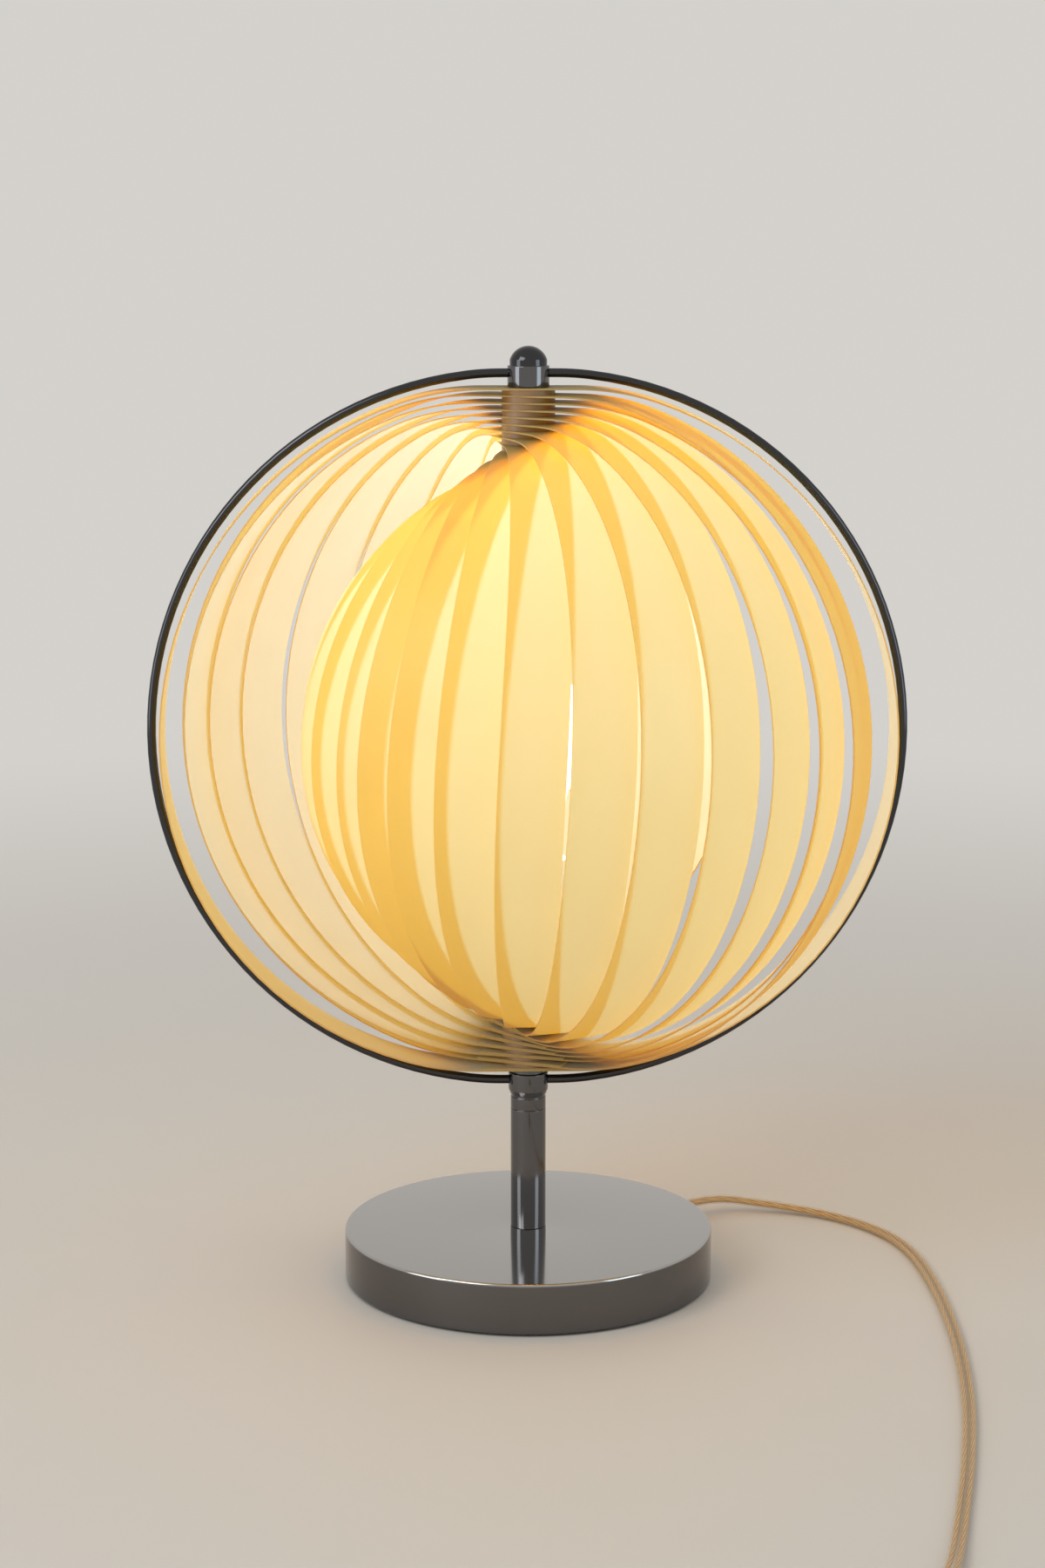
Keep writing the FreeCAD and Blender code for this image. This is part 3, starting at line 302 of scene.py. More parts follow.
cord = capped_sweep("mains_lead", cord_line, twin_section(), (0, 0, 1), along_uv=True)
core_pieces = []
for name, place in (("cord_core_left", -LOBE_PLACE), ("cord_core_right", LOBE_PLACE)):
    core_section = circle(CORE_RADIUS, 8) + [place, 0]
    core_pieces.append(capped_sweep(name, cord_line, core_section * MM, (0, 0, 1), along_uv=True))
for piece in [cord, *core_pieces]:
    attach(piece, "lamp")
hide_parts("mains_cord", "coil_lead", "cord_coil")
print("sheath:", len(cord.data.polygons), "faces, and each core", len(core_pieces[0].data.polygons))

# %% [markdown]
# ## Chromed pieces
#
# Mirror chrome shows every facet, so the visible turned pieces are remade as fine lathed surfaces with small
# rounded edges that catch the light. A Bevel modifier could round the CAD meshes, but their long thin
# triangles would show in the reflections. Each piece is a half outline carried round the upright axis. The
# sizes, in millimetres, are those of the CAD model, and each EDGE is how far a rounding reaches.

# %% Lathe


def rounded(corners, radius, steps=5):
    """The closed outline with each corner cut to a curve (1-t)^2 a + 2t(1-t) corner + t^2 b.

    The points a and b lie at most a radius from the corner and less than half way along its two sides.
    """
    corners = np.asarray(corners, float)
    outline = []
    for index, corner in enumerate(corners):
        before = corners[index - 1] - corner
        after = corners[(index + 1) % len(corners)] - corner
        a = corner + before * min(0.45, radius / np.linalg.norm(before))
        b = corner + after * min(0.45, radius / np.linalg.norm(after))
        t = np.linspace(0, 1, steps)[:, None]
        outline.append((1 - t) ** 2 * a + 2 * t * (1 - t) * corner + t ** 2 * b)
    return np.concatenate(outline)


def lathe(name, outline, segments=160):
    """A closed half outline (r, z) in millimetres turned about Z: (r cos a, r sin a, z).

    A point on the axis is one and the same for the whole turn, so the faces next to it are triangles.
    """
    outline = np.asarray(outline, float)
    angles = np.linspace(0, 2 * math.pi, segments, endpoint=False)[:, None]
    radius, height = outline[None, :, 0], outline[None, :, 1]
    points = np.stack(np.broadcast_arrays(radius * np.cos(angles), radius * np.sin(angles), height), -1)
    on_axis = outline[:, 0] == 0
    numbers = np.arange(segments * len(outline)).reshape(segments, -1)
    numbers[:, on_axis] = numbers[0, on_axis]
    faces = numbers.ravel()[grid_faces(segments, len(outline), True, True).reshape(-1, 4)]
    starts_on_axis = faces[:, 0] == faces[:, 1]
    ends_on_axis = faces[:, 2] == faces[:, 3]
    return build(name, points * MM, [*faces[~starts_on_axis & ~ends_on_axis],
                                     *faces[starts_on_axis & ~ends_on_axis][:, 1:],
                                     *faces[ends_on_axis & ~starts_on_axis][:, :3]])


print("a rounded square has", len(rounded([(0, 0), (1, 0), (1, 1), (0, 1)], 0.1)), "points")

# %% [markdown]
# The base is a chromed cover over a cast weight. The weight and the bottom plate stay as the CAD has them,
# so the cover is a thin wall here too, open below, and not a solid disc.

# %% Base cover
BASE_RADIUS = 84
BASE_HEIGHT = 24
BASE_WALL = 1.6
BASE_EDGE = 1.2
FOOT_HEIGHT = 1.2
TUBE_BORE = 5.05
base_inside = BASE_RADIUS - BASE_WALL
base_ceiling = BASE_HEIGHT - BASE_WALL
cover = lathe("base_shell", rounded([
    (base_inside, FOOT_HEIGHT), (BASE_RADIUS, FOOT_HEIGHT), (BASE_RADIUS, BASE_HEIGHT),
    (TUBE_BORE, BASE_HEIGHT), (TUBE_BORE, base_ceiling), (base_inside, base_ceiling)], BASE_EDGE), 256)
print("base cover:", len(cover.data.polygons), "faces")

# %% [markdown]
# The stem is a plain tube. The turned fitting on it has a fine groove, a cone that widens to a collar, which
# holds the lower ends of the wire ring, and a neck under the shade. One outline gives all of them.

# %% Stem and fitting
STEM_RADIUS = 8
STEM_BORE = 6.7
STEM_TOP = 80
STEM_EDGE = 0.3
stem = lathe("stem", rounded([
    (STEM_BORE, BASE_HEIGHT), (STEM_RADIUS, BASE_HEIGHT), (STEM_RADIUS, STEM_TOP),
    (STEM_BORE, STEM_TOP)], STEM_EDGE))

NECK_RADIUS = 7.5
GROOVE_FOOT = 85.6
GROOVE_TOP = 86.4
COLLAR_RADIUS = 9
COLLAR_FOOT = 89
COLLAR_TOP = 97
SHADE_FOOT = 100
FITTING_EDGE = 0.35
fitting = lathe("stem_fitting", rounded([
    (STEM_RADIUS, STEM_TOP), (STEM_RADIUS, GROOVE_FOOT), (NECK_RADIUS, GROOVE_FOOT),
    (NECK_RADIUS, GROOVE_TOP), (STEM_RADIUS, GROOVE_TOP), (COLLAR_RADIUS, COLLAR_FOOT),
    (COLLAR_RADIUS, COLLAR_TOP), (NECK_RADIUS, COLLAR_TOP), (NECK_RADIUS, SHADE_FOOT),
    (TUBE_BORE, SHADE_FOOT), (TUBE_BORE, STEM_TOP)], FITTING_EDGE))
print("stem and fitting:", len(stem.data.polygons), "and", len(fitting.data.polygons), "faces")

# %% [markdown]
# The barrel at the top holds the upper ends of the wire ring, and a small dome closes it. The dome is a
# short cylinder under a spherical cap. For a cap of radius a and rise h, the sphere's radius is
# (a^2 + h^2) / (2 h).

# %% Barrel and dome
SHADE_TOP = 407
BARREL_RADIUS = 9.25
BARREL_TOP = 416.5
BARREL_EDGE = 0.4
PIN_BORE = 2.55
barrel = lathe("barrel", rounded([
    (PIN_BORE, SHADE_TOP), (BARREL_RADIUS, SHADE_TOP), (BARREL_RADIUS, BARREL_TOP),
    (PIN_BORE, BARREL_TOP)], BARREL_EDGE))

DOME_RADIUS = 8.25
DOME_RISE = 6
DOME_TOP = 425
PIN_BORE_END = 421.05
cap_radius = (DOME_RADIUS ** 2 + DOME_RISE ** 2) / (2 * DOME_RISE)
cap_centre = DOME_TOP - cap_radius
cap_angle = np.linspace(math.asin((cap_radius - DOME_RISE) / cap_radius), math.pi / 2, 24)
cap = np.stack([cap_radius * np.cos(cap_angle), cap_centre + cap_radius * np.sin(cap_angle)], -1)
cap[-1, 0] = 0
dome = lathe("dome", np.concatenate([
    [(PIN_BORE, BARREL_TOP), (DOME_RADIUS, BARREL_TOP)], cap,
    [(0, PIN_BORE_END), (PIN_BORE, PIN_BORE_END)]]))
print("the dome's sphere has a radius of", round(cap_radius, 2), "mm")

# %% [markdown]
# The frame has to know two things of each turned piece: the body that it moves with and the CAD node whose
# place it takes.

# %% Turned pieces join the frame
for piece, node in ((cover, "base_cover"), (stem, "stem_tube"), (fitting, "stem_collar"),
                    (barrel, "top_barrel"), (dome, "dome_cap")):
    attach(piece, "lamp")
    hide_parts(node)
    print(piece.name, "takes the place of", node)

# %% [markdown]
# ## Ovals
#
# The wire ring and every hoop have one kind of outline: a short flat land on the axis at the top and bottom,
# a shoulder arc and a long side arc, all tangent. An ellipse would be simpler, but bent wire and bent strips
# are flatter at the side and tighter at the shoulder. The two arcs touch where the line through their
# centres meets them, which gives the side's radius when the shoulder's is known.

# %% Ovals


class Oval:
    """Half width w, half height h, land l, shoulder radius s: the side's radius makes the two arcs touch.

    The side's radius is ((w - l)^2 + h^2 - 2 h s) / (2 (w - l - s)), and the arcs meet at the angle
    atan2(h - s, l - w + side).
    """

    def __init__(self, half_width, half_height, land, shoulder_share, middle):
        self.half_width, self.half_height, self.land, self.middle = half_width, half_height, land, middle
        reach = half_width - land
        self.shoulder = shoulder_share * reach
        self.side = ((reach ** 2 + half_height ** 2 - 2 * half_height * self.shoulder)
                     / (2 * (reach - self.shoulder)))
        self.meeting = math.atan2(half_height - self.shoulder, self.side - reach)

    def right_half(self, land_steps, shoulder_steps, side_steps, start=0.0):
        """Points (x, z) and outward normals from the top down the right side to the bottom.

        The two ends lie at x = start.
        """
        top = self.half_height
        land_x = np.linspace(start, self.land, land_steps + 1)
        land = np.stack([land_x, np.full_like(land_x, top)], -1)
        land_normal = np.tile([0.0, 1.0], (len(land_x), 1))
        angle = np.linspace(math.pi / 2, self.meeting, shoulder_steps + 1)[1:]
        shoulder_normal = np.stack([np.cos(angle), np.sin(angle)], -1)
        shoulder = shoulder_normal * self.shoulder + [self.land, top - self.shoulder]
        angle = np.linspace(self.meeting, -self.meeting, side_steps + 1)[1:-1]
        side_normal = np.stack([np.cos(angle), np.sin(angle)], -1)
        side = side_normal * self.side + [self.half_width - self.side, 0]
        upper = np.concatenate([land, shoulder])
        upper_normal = np.concatenate([land_normal, shoulder_normal])
        mirror = np.array([1, -1])
        return (np.concatenate([upper, side, upper[::-1] * mirror]),
                np.concatenate([upper_normal, side_normal, upper_normal[::-1] * mirror]))


RING = Oval(half_width=168, half_height=160, land=12, shoulder_share=0.8, middle=253.2)
print("ring: shoulder radius", round(RING.shoulder, 1), "mm, side radius", round(RING.side, 1), "mm")

# %% [markdown]
# The ring is two half rings of round wire, whose ends enter the collar and the barrel. The left one is the
# right one turned by half a turn.

# %% Wire ring
ROD_RADIUS = 2
ROD_END = 5.6


def turn_about_z(points, degrees):
    """x cos a - y sin a, x sin a + y cos a, z."""
    angle = math.radians(degrees)
    turned = np.array(points, float)
    turned[..., 0] = points[..., 0] * math.cos(angle) - points[..., 1] * math.sin(angle)
    turned[..., 1] = points[..., 0] * math.sin(angle) + points[..., 1] * math.cos(angle)
    return turned


ring_outline, _ = RING.right_half(land_steps=3, shoulder_steps=8, side_steps=56, start=ROD_END)
ring_height = RING.middle + ring_outline[:, 1]
ring_path = np.stack([ring_outline[:, 0], np.zeros(len(ring_outline)), ring_height], -1)
ring_pieces = []
for node, turn in (("ring_right", 0), ("ring_left", 180)):
    half_path = turn_about_z(ring_path, turn)
    half = capped_sweep("wire_" + node, half_path * MM, circle(ROD_RADIUS, 20) * MM, (0, 1, 0))
    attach(half, "lamp")
    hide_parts(node)
    ring_pieces.append(half)
print("ring:", [len(half.data.polygons) for half in ring_pieces], "faces")

# %% [markdown]
# ## Hoops
#
# Each hoop is a strip cut from a thin opal sheet, bent to an oval, with its ends lapped at the foot. A
# cloth simulation could bend it, but a stiff strip simply follows its outline, so a grid is enough: round
# the oval one way, across the strip the other. The strip is widest at the middle, bows to one side and leans
# a little, so that the shade looks twisted. The sheet is modelled with its real thickness, because its edges
# show as fine lines.

# %% Thick sheets


def walls_between(faces, offset):
    """Quads that join the open edges of a sheet to those of its copy.

    The copy's points are numbered as the sheet's are, with the offset added. An edge is open where only one
    face has it: its two ends, the other way round, are in no other face.
    """
    starts = faces.ravel()
    ends = np.roll(faces, -1, axis=1).ravel()
    size = starts.max() + 1
    is_open = ~np.isin(starts * size + ends, ends * size + starts)
    first, second = starts[is_open], ends[is_open]
    return np.stack([second, first, first + offset, second + offset], -1)


def thick_sheet(outer, inner, faces):
    """Points and faces of a closed shell: a sheet, its copy turned over, and walls round every open edge."""
    count = len(outer)
    points = np.concatenate([outer, inner])
    return points, np.concatenate([faces, faces[:, ::-1] + count, walls_between(faces, count)])


def sides_of(shell, sheet_faces):
    """Which side of a thick sheet each face is on: 0 outside, 1 inside, 2 on the walls between."""
    return np.minimum(np.arange(len(shell)) // len(sheet_faces), 2)


square = grid_faces(2, 2).reshape(-1, 4)
_, thick_square = thick_sheet(np.zeros((4, 3)), np.ones((4, 3)), square)
print("sides of a thick square's faces:", sides_of(thick_square, square).tolist())

# %% [markdown]
# The width and the place of the strip change with the height. Hoop 7 is a little wider than the rest, so
# that only a thin slit is left beside it.

# %% Across the strip
STRIP_WIDTH = 28.3
LAND_WIDTH = 24
BOW = 0.088
LEAN = 0.049
EXTRA_WIDTH = {7: 2.0}
COLUMNS = 12


def strip_across(oval, z, extra):
    """Places across the strip at a height z: middle + width c, for c from -1/2 to 1/2.

    With share q = z / half height and fade f = (1 - q^2)^(3/4), the width is W + (L - W) q^2 + extra f, from
    the strip's W and the land's L, and the middle is (lean z - bow half width + extra / 2) f.
    """
    share = z / oval.half_height
    fade = np.clip(1 - share ** 2, 0, 1) ** 0.75
    width = STRIP_WIDTH + (LAND_WIDTH - STRIP_WIDTH) * share ** 2
    middle = (LEAN * z - BOW * oval.half_width) * fade + extra * fade / 2
    return middle[:, None] + (width + extra * fade)[:, None] * np.linspace(-0.5, 0.5, COLUMNS + 1)[None, :]


print("strip:", STRIP_WIDTH, "mm wide at the middle,", LAND_WIDTH, "mm at the poles")

# %% [markdown]
# The axis passes through every hoop: a pin at the top, a threaded tube at the foot. Cutting the holes with a
# Boolean would spoil the even grid, so the grid's own points round the axis are moved onto a circle, and the
# faces inside it are left out.

# %% Holes over the axis
PIN_HOLE = 2.56
TUBE_HOLE = 5.06


def round_hole(points, rows, half_block, radius):
    """Moves the square of grid points round the axis onto a circle, and tells which faces lie within it.

    Each point of the square's edge goes to radius p / |p|. The square reaches half_block points each way.
    """
    row_numbers = rows[np.abs(np.arange(len(rows)) - len(rows) // 2) <= half_block]
    columns = np.arange(COLUMNS // 2 - half_block, COLUMNS // 2 + half_block + 1)
    block = points[np.ix_(row_numbers, columns)]
    edge = np.ones(block.shape[:2], bool)
    edge[1:-1, 1:-1] = False
    plan = block[edge][:, :2]
    block[edge, :2] = plan * (radius / np.linalg.norm(plan, axis=1, keepdims=True))
    points[np.ix_(row_numbers, columns)] = block
    return row_numbers[:-1], columns[:-1]


print("holes:", 2 * PIN_HOLE, "mm over the pin and", 2 * TUBE_HOLE, "mm over the tube")

# %% [markdown]
# The hoops could be scaled copies of one, but then their sheets would get thinner too. So each is worked out
# from its number, with the same sheet.

# %% One hoop's shell
HOOP_HALF_WIDTH = 162.5
HALF_WIDTH_STEP = 4.3
HOOP_HALF_HEIGHT = 153.5
HALF_HEIGHT_STEP = 3.1
LAND_SHARE = 0.13
SHOULDER_SHARE = 0.78
SHADE_MIDDLE = (SHADE_FOOT + SHADE_TOP) / 2
SHEET = 0.7
LAND_STEPS = 10
SHOULDER_STEPS = 14
SIDE_STEPS = 40


def hoop_shell(number):
    """One hoop's oval, outer points, inner points and faces, in millimetres in its own plane.

    The outer point is (x, place across the strip, z) for each (x, z) of the oval, and the inner one lies one
    sheet against the oval's normal. Each hoop is a step smaller than the one before.
    """
    step = number - 1
    half_width = HOOP_HALF_WIDTH - HALF_WIDTH_STEP * step
    half_height = HOOP_HALF_HEIGHT - HALF_HEIGHT_STEP * step
    oval = Oval(half_width, half_height, LAND_SHARE * half_width, SHOULDER_SHARE, SHADE_MIDDLE)
    right, right_normal = oval.right_half(LAND_STEPS, SHOULDER_STEPS, SIDE_STEPS)
    flip = np.array([-1, 1])
    outline = np.concatenate([right, right[-2:0:-1] * flip])
    normal = np.concatenate([right_normal, right_normal[-2:0:-1] * flip])
    rows = len(outline)
    across = strip_across(oval, outline[:, 1], EXTRA_WIDTH.get(number, 0))
    outer = np.stack(np.broadcast_arrays(outline[:, :1], across, outline[:, 1:] + oval.middle), -1).copy()
    outward = np.stack([normal[:, 0], np.zeros(rows), normal[:, 1]], -1)[:, None]
    keep = np.ones((rows, COLUMNS), bool)
    top_rows = np.arange(-LAND_STEPS, LAND_STEPS + 1) % rows
    foot_rows = np.arange(len(right) - 1 - LAND_STEPS, len(right) + LAND_STEPS)
    for hole_rows, half_block, radius in ((top_rows, 1, PIN_HOLE), (foot_rows, 2, TUBE_HOLE)):
        gone_rows, gone_columns = round_hole(outer, hole_rows, half_block, radius)
        keep[np.ix_(gone_rows, gone_columns)] = False
    inner = outer - SHEET * outward
    faces = grid_faces(rows, COLUMNS + 1, True)[keep]
    return oval, outer.reshape(-1, 3), inner.reshape(-1, 3), faces


print("the smallest hoop is", 2 * hoop_shell(16)[0].half_width, "mm wide")

# %% [markdown]
# At the foot, one end of the strip lies on the other, and the tube holds both. A grid that overlaps itself
# couldn't close round the oval, so the upper end is a flat plate of its own.

# %% The lapped end
LAP_GAP = 0.02
LAP_SHORT = 0.5


def lap_shell(oval):
    """The lapped end's lower points, upper points and faces: a flat plate on the hoop's lower land.

    Its points are (-x, y, z) at even steps over the land, and it is a little shorter than the land.
    """
    reach = oval.land - LAP_SHORT
    x = np.linspace(-reach, reach, 2 * LAND_STEPS + 1)[:, None]
    y = np.linspace(-0.5, 0.5, COLUMNS + 1)[None, :] * LAND_WIDTH
    foot = oval.middle - oval.half_height + SHEET + LAP_GAP
    lower = np.stack(np.broadcast_arrays(-x, y, foot), -1).copy()
    gone_rows, gone_columns = round_hole(lower, np.arange(2 * LAND_STEPS + 1), 2, TUBE_HOLE)
    keep = np.ones((2 * LAND_STEPS, COLUMNS), bool)
    keep[np.ix_(gone_rows, gone_columns)] = False
    upper = lower + [0, 0, SHEET - LAP_GAP]
    faces = grid_faces(2 * LAND_STEPS + 1, COLUMNS + 1)[keep]
    return lower.reshape(-1, 3), upper.reshape(-1, 3), faces


print("a lap has", len(lap_shell(RING)[2]), "faces on each side")

# %% [markdown]
# On the real lamp each hoop turns by hand and stays where it is left. The angles are those in which the
# photograph shows them, each read from its edges. The outermost hoop stays in the plane of the ring.

# %% All the hoops
HOOP_ANGLES = [90, 67.5, 72.8, 62.7, 52.6, 40.8, 28.5, 16.8, 4.1, -8, -18.7, -27.3, -35.2, -48, -60, -76]
hoops = []
for number, angle in enumerate(HOOP_ANGLES, start=1):
    oval, outer, inner, faces = hoop_shell(number)
    points, shell = thick_sheet(outer, inner, faces)
    lap_lower, lap_upper, lap_faces = lap_shell(oval)
    lap_points, lap = thick_sheet(lap_lower, lap_upper, lap_faces)
    side_of_face = np.concatenate([sides_of(shell, faces), sides_of(lap, lap_faces)]).astype(np.int32)
    all_faces = np.concatenate([shell, lap + len(points)])
    points = turn_about_z(np.concatenate([points, lap_points]), angle - 90)
    hoop = build(f"hoop_{number:02d}", points * MM, all_faces)
    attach(hoop, "lamp" if number == 1 else f"strip_{number:02d}")
    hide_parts(f"strip_{number:02d}")
    hoops.append((hoop, side_of_face))
print("hoops:", len(hoops), "of", sum(len(hoop.data.polygons) for hoop, _ in hoops), "faces")

# %% [markdown]
# ## Bulb
#
# The bulb is a lit globe on a screw cap. A ball joined to a cone would show a seam, so the glass is one
# lathed outline: a sphere over a neck that widens as a parabola. It is a thin shell, as the real one is.

# %% Bulb
BULB_FOOT = 196.66
BULB_CENTRE = 251.66
BULB_RADIUS = 30
NECK_TOP_RADIUS = 18
NECK_FOOT_RADIUS = 14
GLASS = 1
globe_angle = np.linspace(-math.acos(NECK_TOP_RADIUS / BULB_RADIUS), math.pi / 2, 32)
globe = np.stack([BULB_RADIUS * np.cos(globe_angle), BULB_CENTRE + BULB_RADIUS * np.sin(globe_angle)], -1)
globe[-1, 0] = 0
neck_share = np.linspace(0, 1, 12)[:-1]
neck_radius = NECK_FOOT_RADIUS + (NECK_TOP_RADIUS - NECK_FOOT_RADIUS) * neck_share ** 2
neck = np.stack([neck_radius, BULB_FOOT + neck_share * (globe[0, 1] - BULB_FOOT)], -1)
glass_outer = np.concatenate([neck, globe])
glass_inner = glass_outer[::-1].copy()
glass_inner[:, 0] = np.maximum(glass_inner[:, 0] - GLASS, 0)
glass_inner[:, 1] -= np.linspace(GLASS, 0, len(glass_inner))
bulb = lathe("bulb", np.concatenate([glass_outer, glass_inner]), 96)
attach(bulb, "lamp")
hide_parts("bulb_glass")
print("bulb:", len(bulb.data.polygons), "faces")

# %% [markdown]
# ## Shader maths
#
# A material is a tree of nodes. The first class below wraps one socket, so that masks and roughness can be
# written as sums and products, and each operator adds its Math node. Every other node comes from one method,
# so a finish reads as a short list of nodes and values.

# %% Shader helpers


class Wire:
    """A socket in a tree of nodes that takes part in sums and products."""

    def __init__(self, owner, socket):
        self.owner, self.socket = owner, socket

    def maths(self, operation, first, second):
        """A Math node on two values, each a number or a Wire."""
        return self.owner.add("ShaderNodeMath", {0: first, 1: second}, operation=operation)

    def __add__(self, other):
        return self.maths("ADD", self, other)

    def __sub__(self, other):
        return self.maths("SUBTRACT", self, other)

    def __rsub__(self, other):
        return self.maths("SUBTRACT", other, self)

    def __mul__(self, other):
        return self.maths("MULTIPLY", self, other)

    __radd__ = __add__
    __rmul__ = __mul__


class ShaderTree:
    """A tree of nodes, empty at first, that one method fills."""

    def __init__(self, tree):
        self.tree = tree
        self.tree.nodes.clear()

    def add(self, kind, sockets=None, out=0, **settings):
        """A node of this kind: its settings first, then a value or a link for each socket named."""
        node = self.tree.nodes.new(kind)
        for name, value in settings.items():
            setattr(node, name, value)
        for name, value in (sockets or {}).items():
            if isinstance(value, Wire):
                self.tree.links.new(value.socket, node.inputs[name])
            else:
                node.inputs[name].default_value = value
        return Wire(self, node.outputs[out]) if node.outputs else None


class Finish(ShaderTree):
    """One material and the nodes in it."""

    def __init__(self, name):
        self.material = bpy.data.materials.new(name)
        self.material.use_nodes = True
        super().__init__(self.material.node_tree)

    def place(self):
        """Object coordinates: metres in the lamp's own frame."""
        return self.add("ShaderNodeTexCoord", out="Object")

    def part_of(self, vector, index):
        """One of a vector's three numbers."""
        return self.add("ShaderNodeSeparateXYZ", {0: vector}, out=index)

    def noise(self, scale, detail=3.0):
        """A soft random value between 0 and 1 that varies over 1 / scale metres."""
        return self.add("ShaderNodeTexNoise", {"Vector": self.place(), "Scale": scale, "Detail": detail})

    def mixed(self, factor, first, second):
        """A colour between two colours: (1 - factor) first + factor second."""
        return self.add("ShaderNodeMix", {0: factor, 6: (*first, 1), 7: (*second, 1)}, out=2,
                        data_type="RGBA")

    def done(self, surface):
        """Puts a surface on the material's output."""
        self.add("ShaderNodeOutputMaterial", {"Surface": surface})
        return self.material


def paint(material, *pieces):
    """Gives pieces one material in place of any they have."""
    for piece in pieces:
        piece.data.materials.clear()
        piece.data.materials.append(material)
    print(material.name, "is on", [piece.name for piece in pieces])


# %% [markdown]
# ## Chrome
#
# Polished chrome is a mirror: metallic, nearly no roughness, and faint cloudy smears where hands and cloths
# have been. The smears only change the roughness. Under this pale sky fresh chrome would look nearly white,
# so its colour is painted darker, a painted dark reflection. The wire ring and the dome are painted darker
# still.

# %% Chrome


def metal(name, colour, rough, smear, smear_scale):
    """A metal whose roughness is rough + smear times a soft noise."""
    finish = Finish(name)
    roughness = rough + smear * finish.noise(smear_scale)
    return finish.done(finish.add("ShaderNodeBsdfPrincipled", {
        "Base Color": (*colour, 1), "Metallic": 1.0, "Roughness": roughness}))


# Both chrome colours are painted darker, a painted dark reflection; the ring's and the dome's are darker
# still.
chrome = metal("mirror_chrome", (0.14, 0.137, 0.14), 0.08, 0.06, 40)
chrome_painted_darker = metal("chrome_painted_darker", (0.06, 0.06, 0.065), 0.08, 0.06, 40)
paint(chrome, stem, fitting, barrel)
paint(chrome_painted_darker, dome, *ring_pieces)

# %% [markdown]
# The base's flat top is painted lighter than its side, a painted reflection of the light from the shade, and
# both are painted darker than fresh chrome, a painted dark reflection. Two materials would meet at a hard
# line, so one material changes with the height over the rounded edge. Smears and fine dust make it a little
# rougher in places.

# %% The base's chrome
RIM_FROM = BASE_HEIGHT - 1.4
RIM_TO = BASE_HEIGHT - 0.4
# The side's colour is a painted dark reflection, and the top's lighter colour a painted reflection of the
# shade's light.
DISC_SIDE_PAINTED_DARKER = (0.15, 0.147, 0.15)
DISC_TOP_PAINTED_LIGHTER = (0.46, 0.45, 0.435)
disc = Finish("polished_disc")
on_top = disc.add("ShaderNodeMapRange", {
    "Value": disc.part_of(disc.place(), 2), "From Min": RIM_FROM * MM, "From Max": RIM_TO * MM},
    interpolation_type="SMOOTHSTEP")
smears = disc.noise(25)
dust = disc.noise(900, 2)
disc_body = disc.add("ShaderNodeBsdfPrincipled", {
    "Base Color": disc.mixed(on_top, DISC_SIDE_PAINTED_DARKER, DISC_TOP_PAINTED_LIGHTER), "Metallic": 1.0,
    "Roughness": 0.09 - 0.05 * on_top + 0.05 * smears + 0.04 * dust})
paint(disc.done(disc_body), cover)

# %% [markdown]
# ## Opal sheet
#
# Light from the bulb goes through the strips, and where two strips overlap, the glow is deeper and yellower.
# Real transmission through so many layers would need many bounces and would be noisy. So the sheet mixes a
# satin plastic with a translucent one, and to a shadow ray it is a tinted filter: the bulb's light reaches
# the outer strips at once, coloured once for each surface that it has passed. The outer faces and the cut
# edges are painted a deep amber, a painted glow of the warm light through them, and the cut edges also let
# warm light out. The inner faces are less glossy and painted whiter, painted light from the bulb that falls
# on them unfiltered.

# %% Opal sheet
FILTER_TINT = (0.97, 0.80, 0.27)
THROUGH = (0.53, 0.53, 0.52)
THROUGH_EDGE = (0.90, 0.72, 0.42)


def opal(name, dull, clean, through, share, rough):
    """A sheet's face: a share of light that goes through it, the rest reflected by a satin plastic."""
    finish = Finish(name)
    cloud = finish.noise(60, 4)
    satin = finish.add("ShaderNodeBsdfPrincipled", {
        "Base Color": finish.mixed(cloud, dull, clean), "Roughness": rough + 0.08 * finish.noise(400),
        "IOR": 1.46})
    glow = finish.add("ShaderNodeBsdfTranslucent", {"Color": (*through, 1)})
    sheet_body = finish.add("ShaderNodeMixShader", {0: share, 1: satin, 2: glow})
    filtered = finish.add("ShaderNodeBsdfTransparent", {"Color": (*FILTER_TINT, 1)})
    is_shadow = finish.add("ShaderNodeLightPath", out="Is Shadow Ray")
    return finish.done(finish.add("ShaderNodeMixShader", {0: is_shadow, 1: sheet_body, 2: filtered}))


# The outer faces' and the edges' deep amber is a painted glow, and the inner faces' whiter colour is painted
# light from the bulb.
opal_outside = opal("opal_outside", (0.57, 0.41, 0.13), (0.62, 0.46, 0.16), THROUGH, 0.62, 0.28)
opal_inside = opal("opal_inside", (0.45, 0.42, 0.30), (0.49, 0.46, 0.34), THROUGH, 0.35, 0.42)
opal_edge = opal("opal_edge", (0.56, 0.37, 0.12), (0.64, 0.44, 0.16), THROUGH_EDGE, 0.5, 0.3)
paint(opal_outside, *(hoop for hoop, _ in hoops))
for hoop, side_of_face in hoops:
    hoop.data.materials.append(opal_inside)
    hoop.data.materials.append(opal_edge)
    hoop.data.polygons.foreach_set("material_index", side_of_face)

# %% [markdown]
# ## Lead and bulb
#
# The lead's sheath is clear soft plastic. The cores are fine strands, twisted. Modelled strands would need
# far more faces, so their colour has slanting lines instead, which follow the mesh's own UV map: u goes
# once round the core and v is the distance along it. The darker lines are painted shade between the strands,
# the lighter ones a painted highlight on them, and a bump follows the same lines.

# %% Lead
STRANDS_AROUND = 7
TWISTS_A_METRE = 120
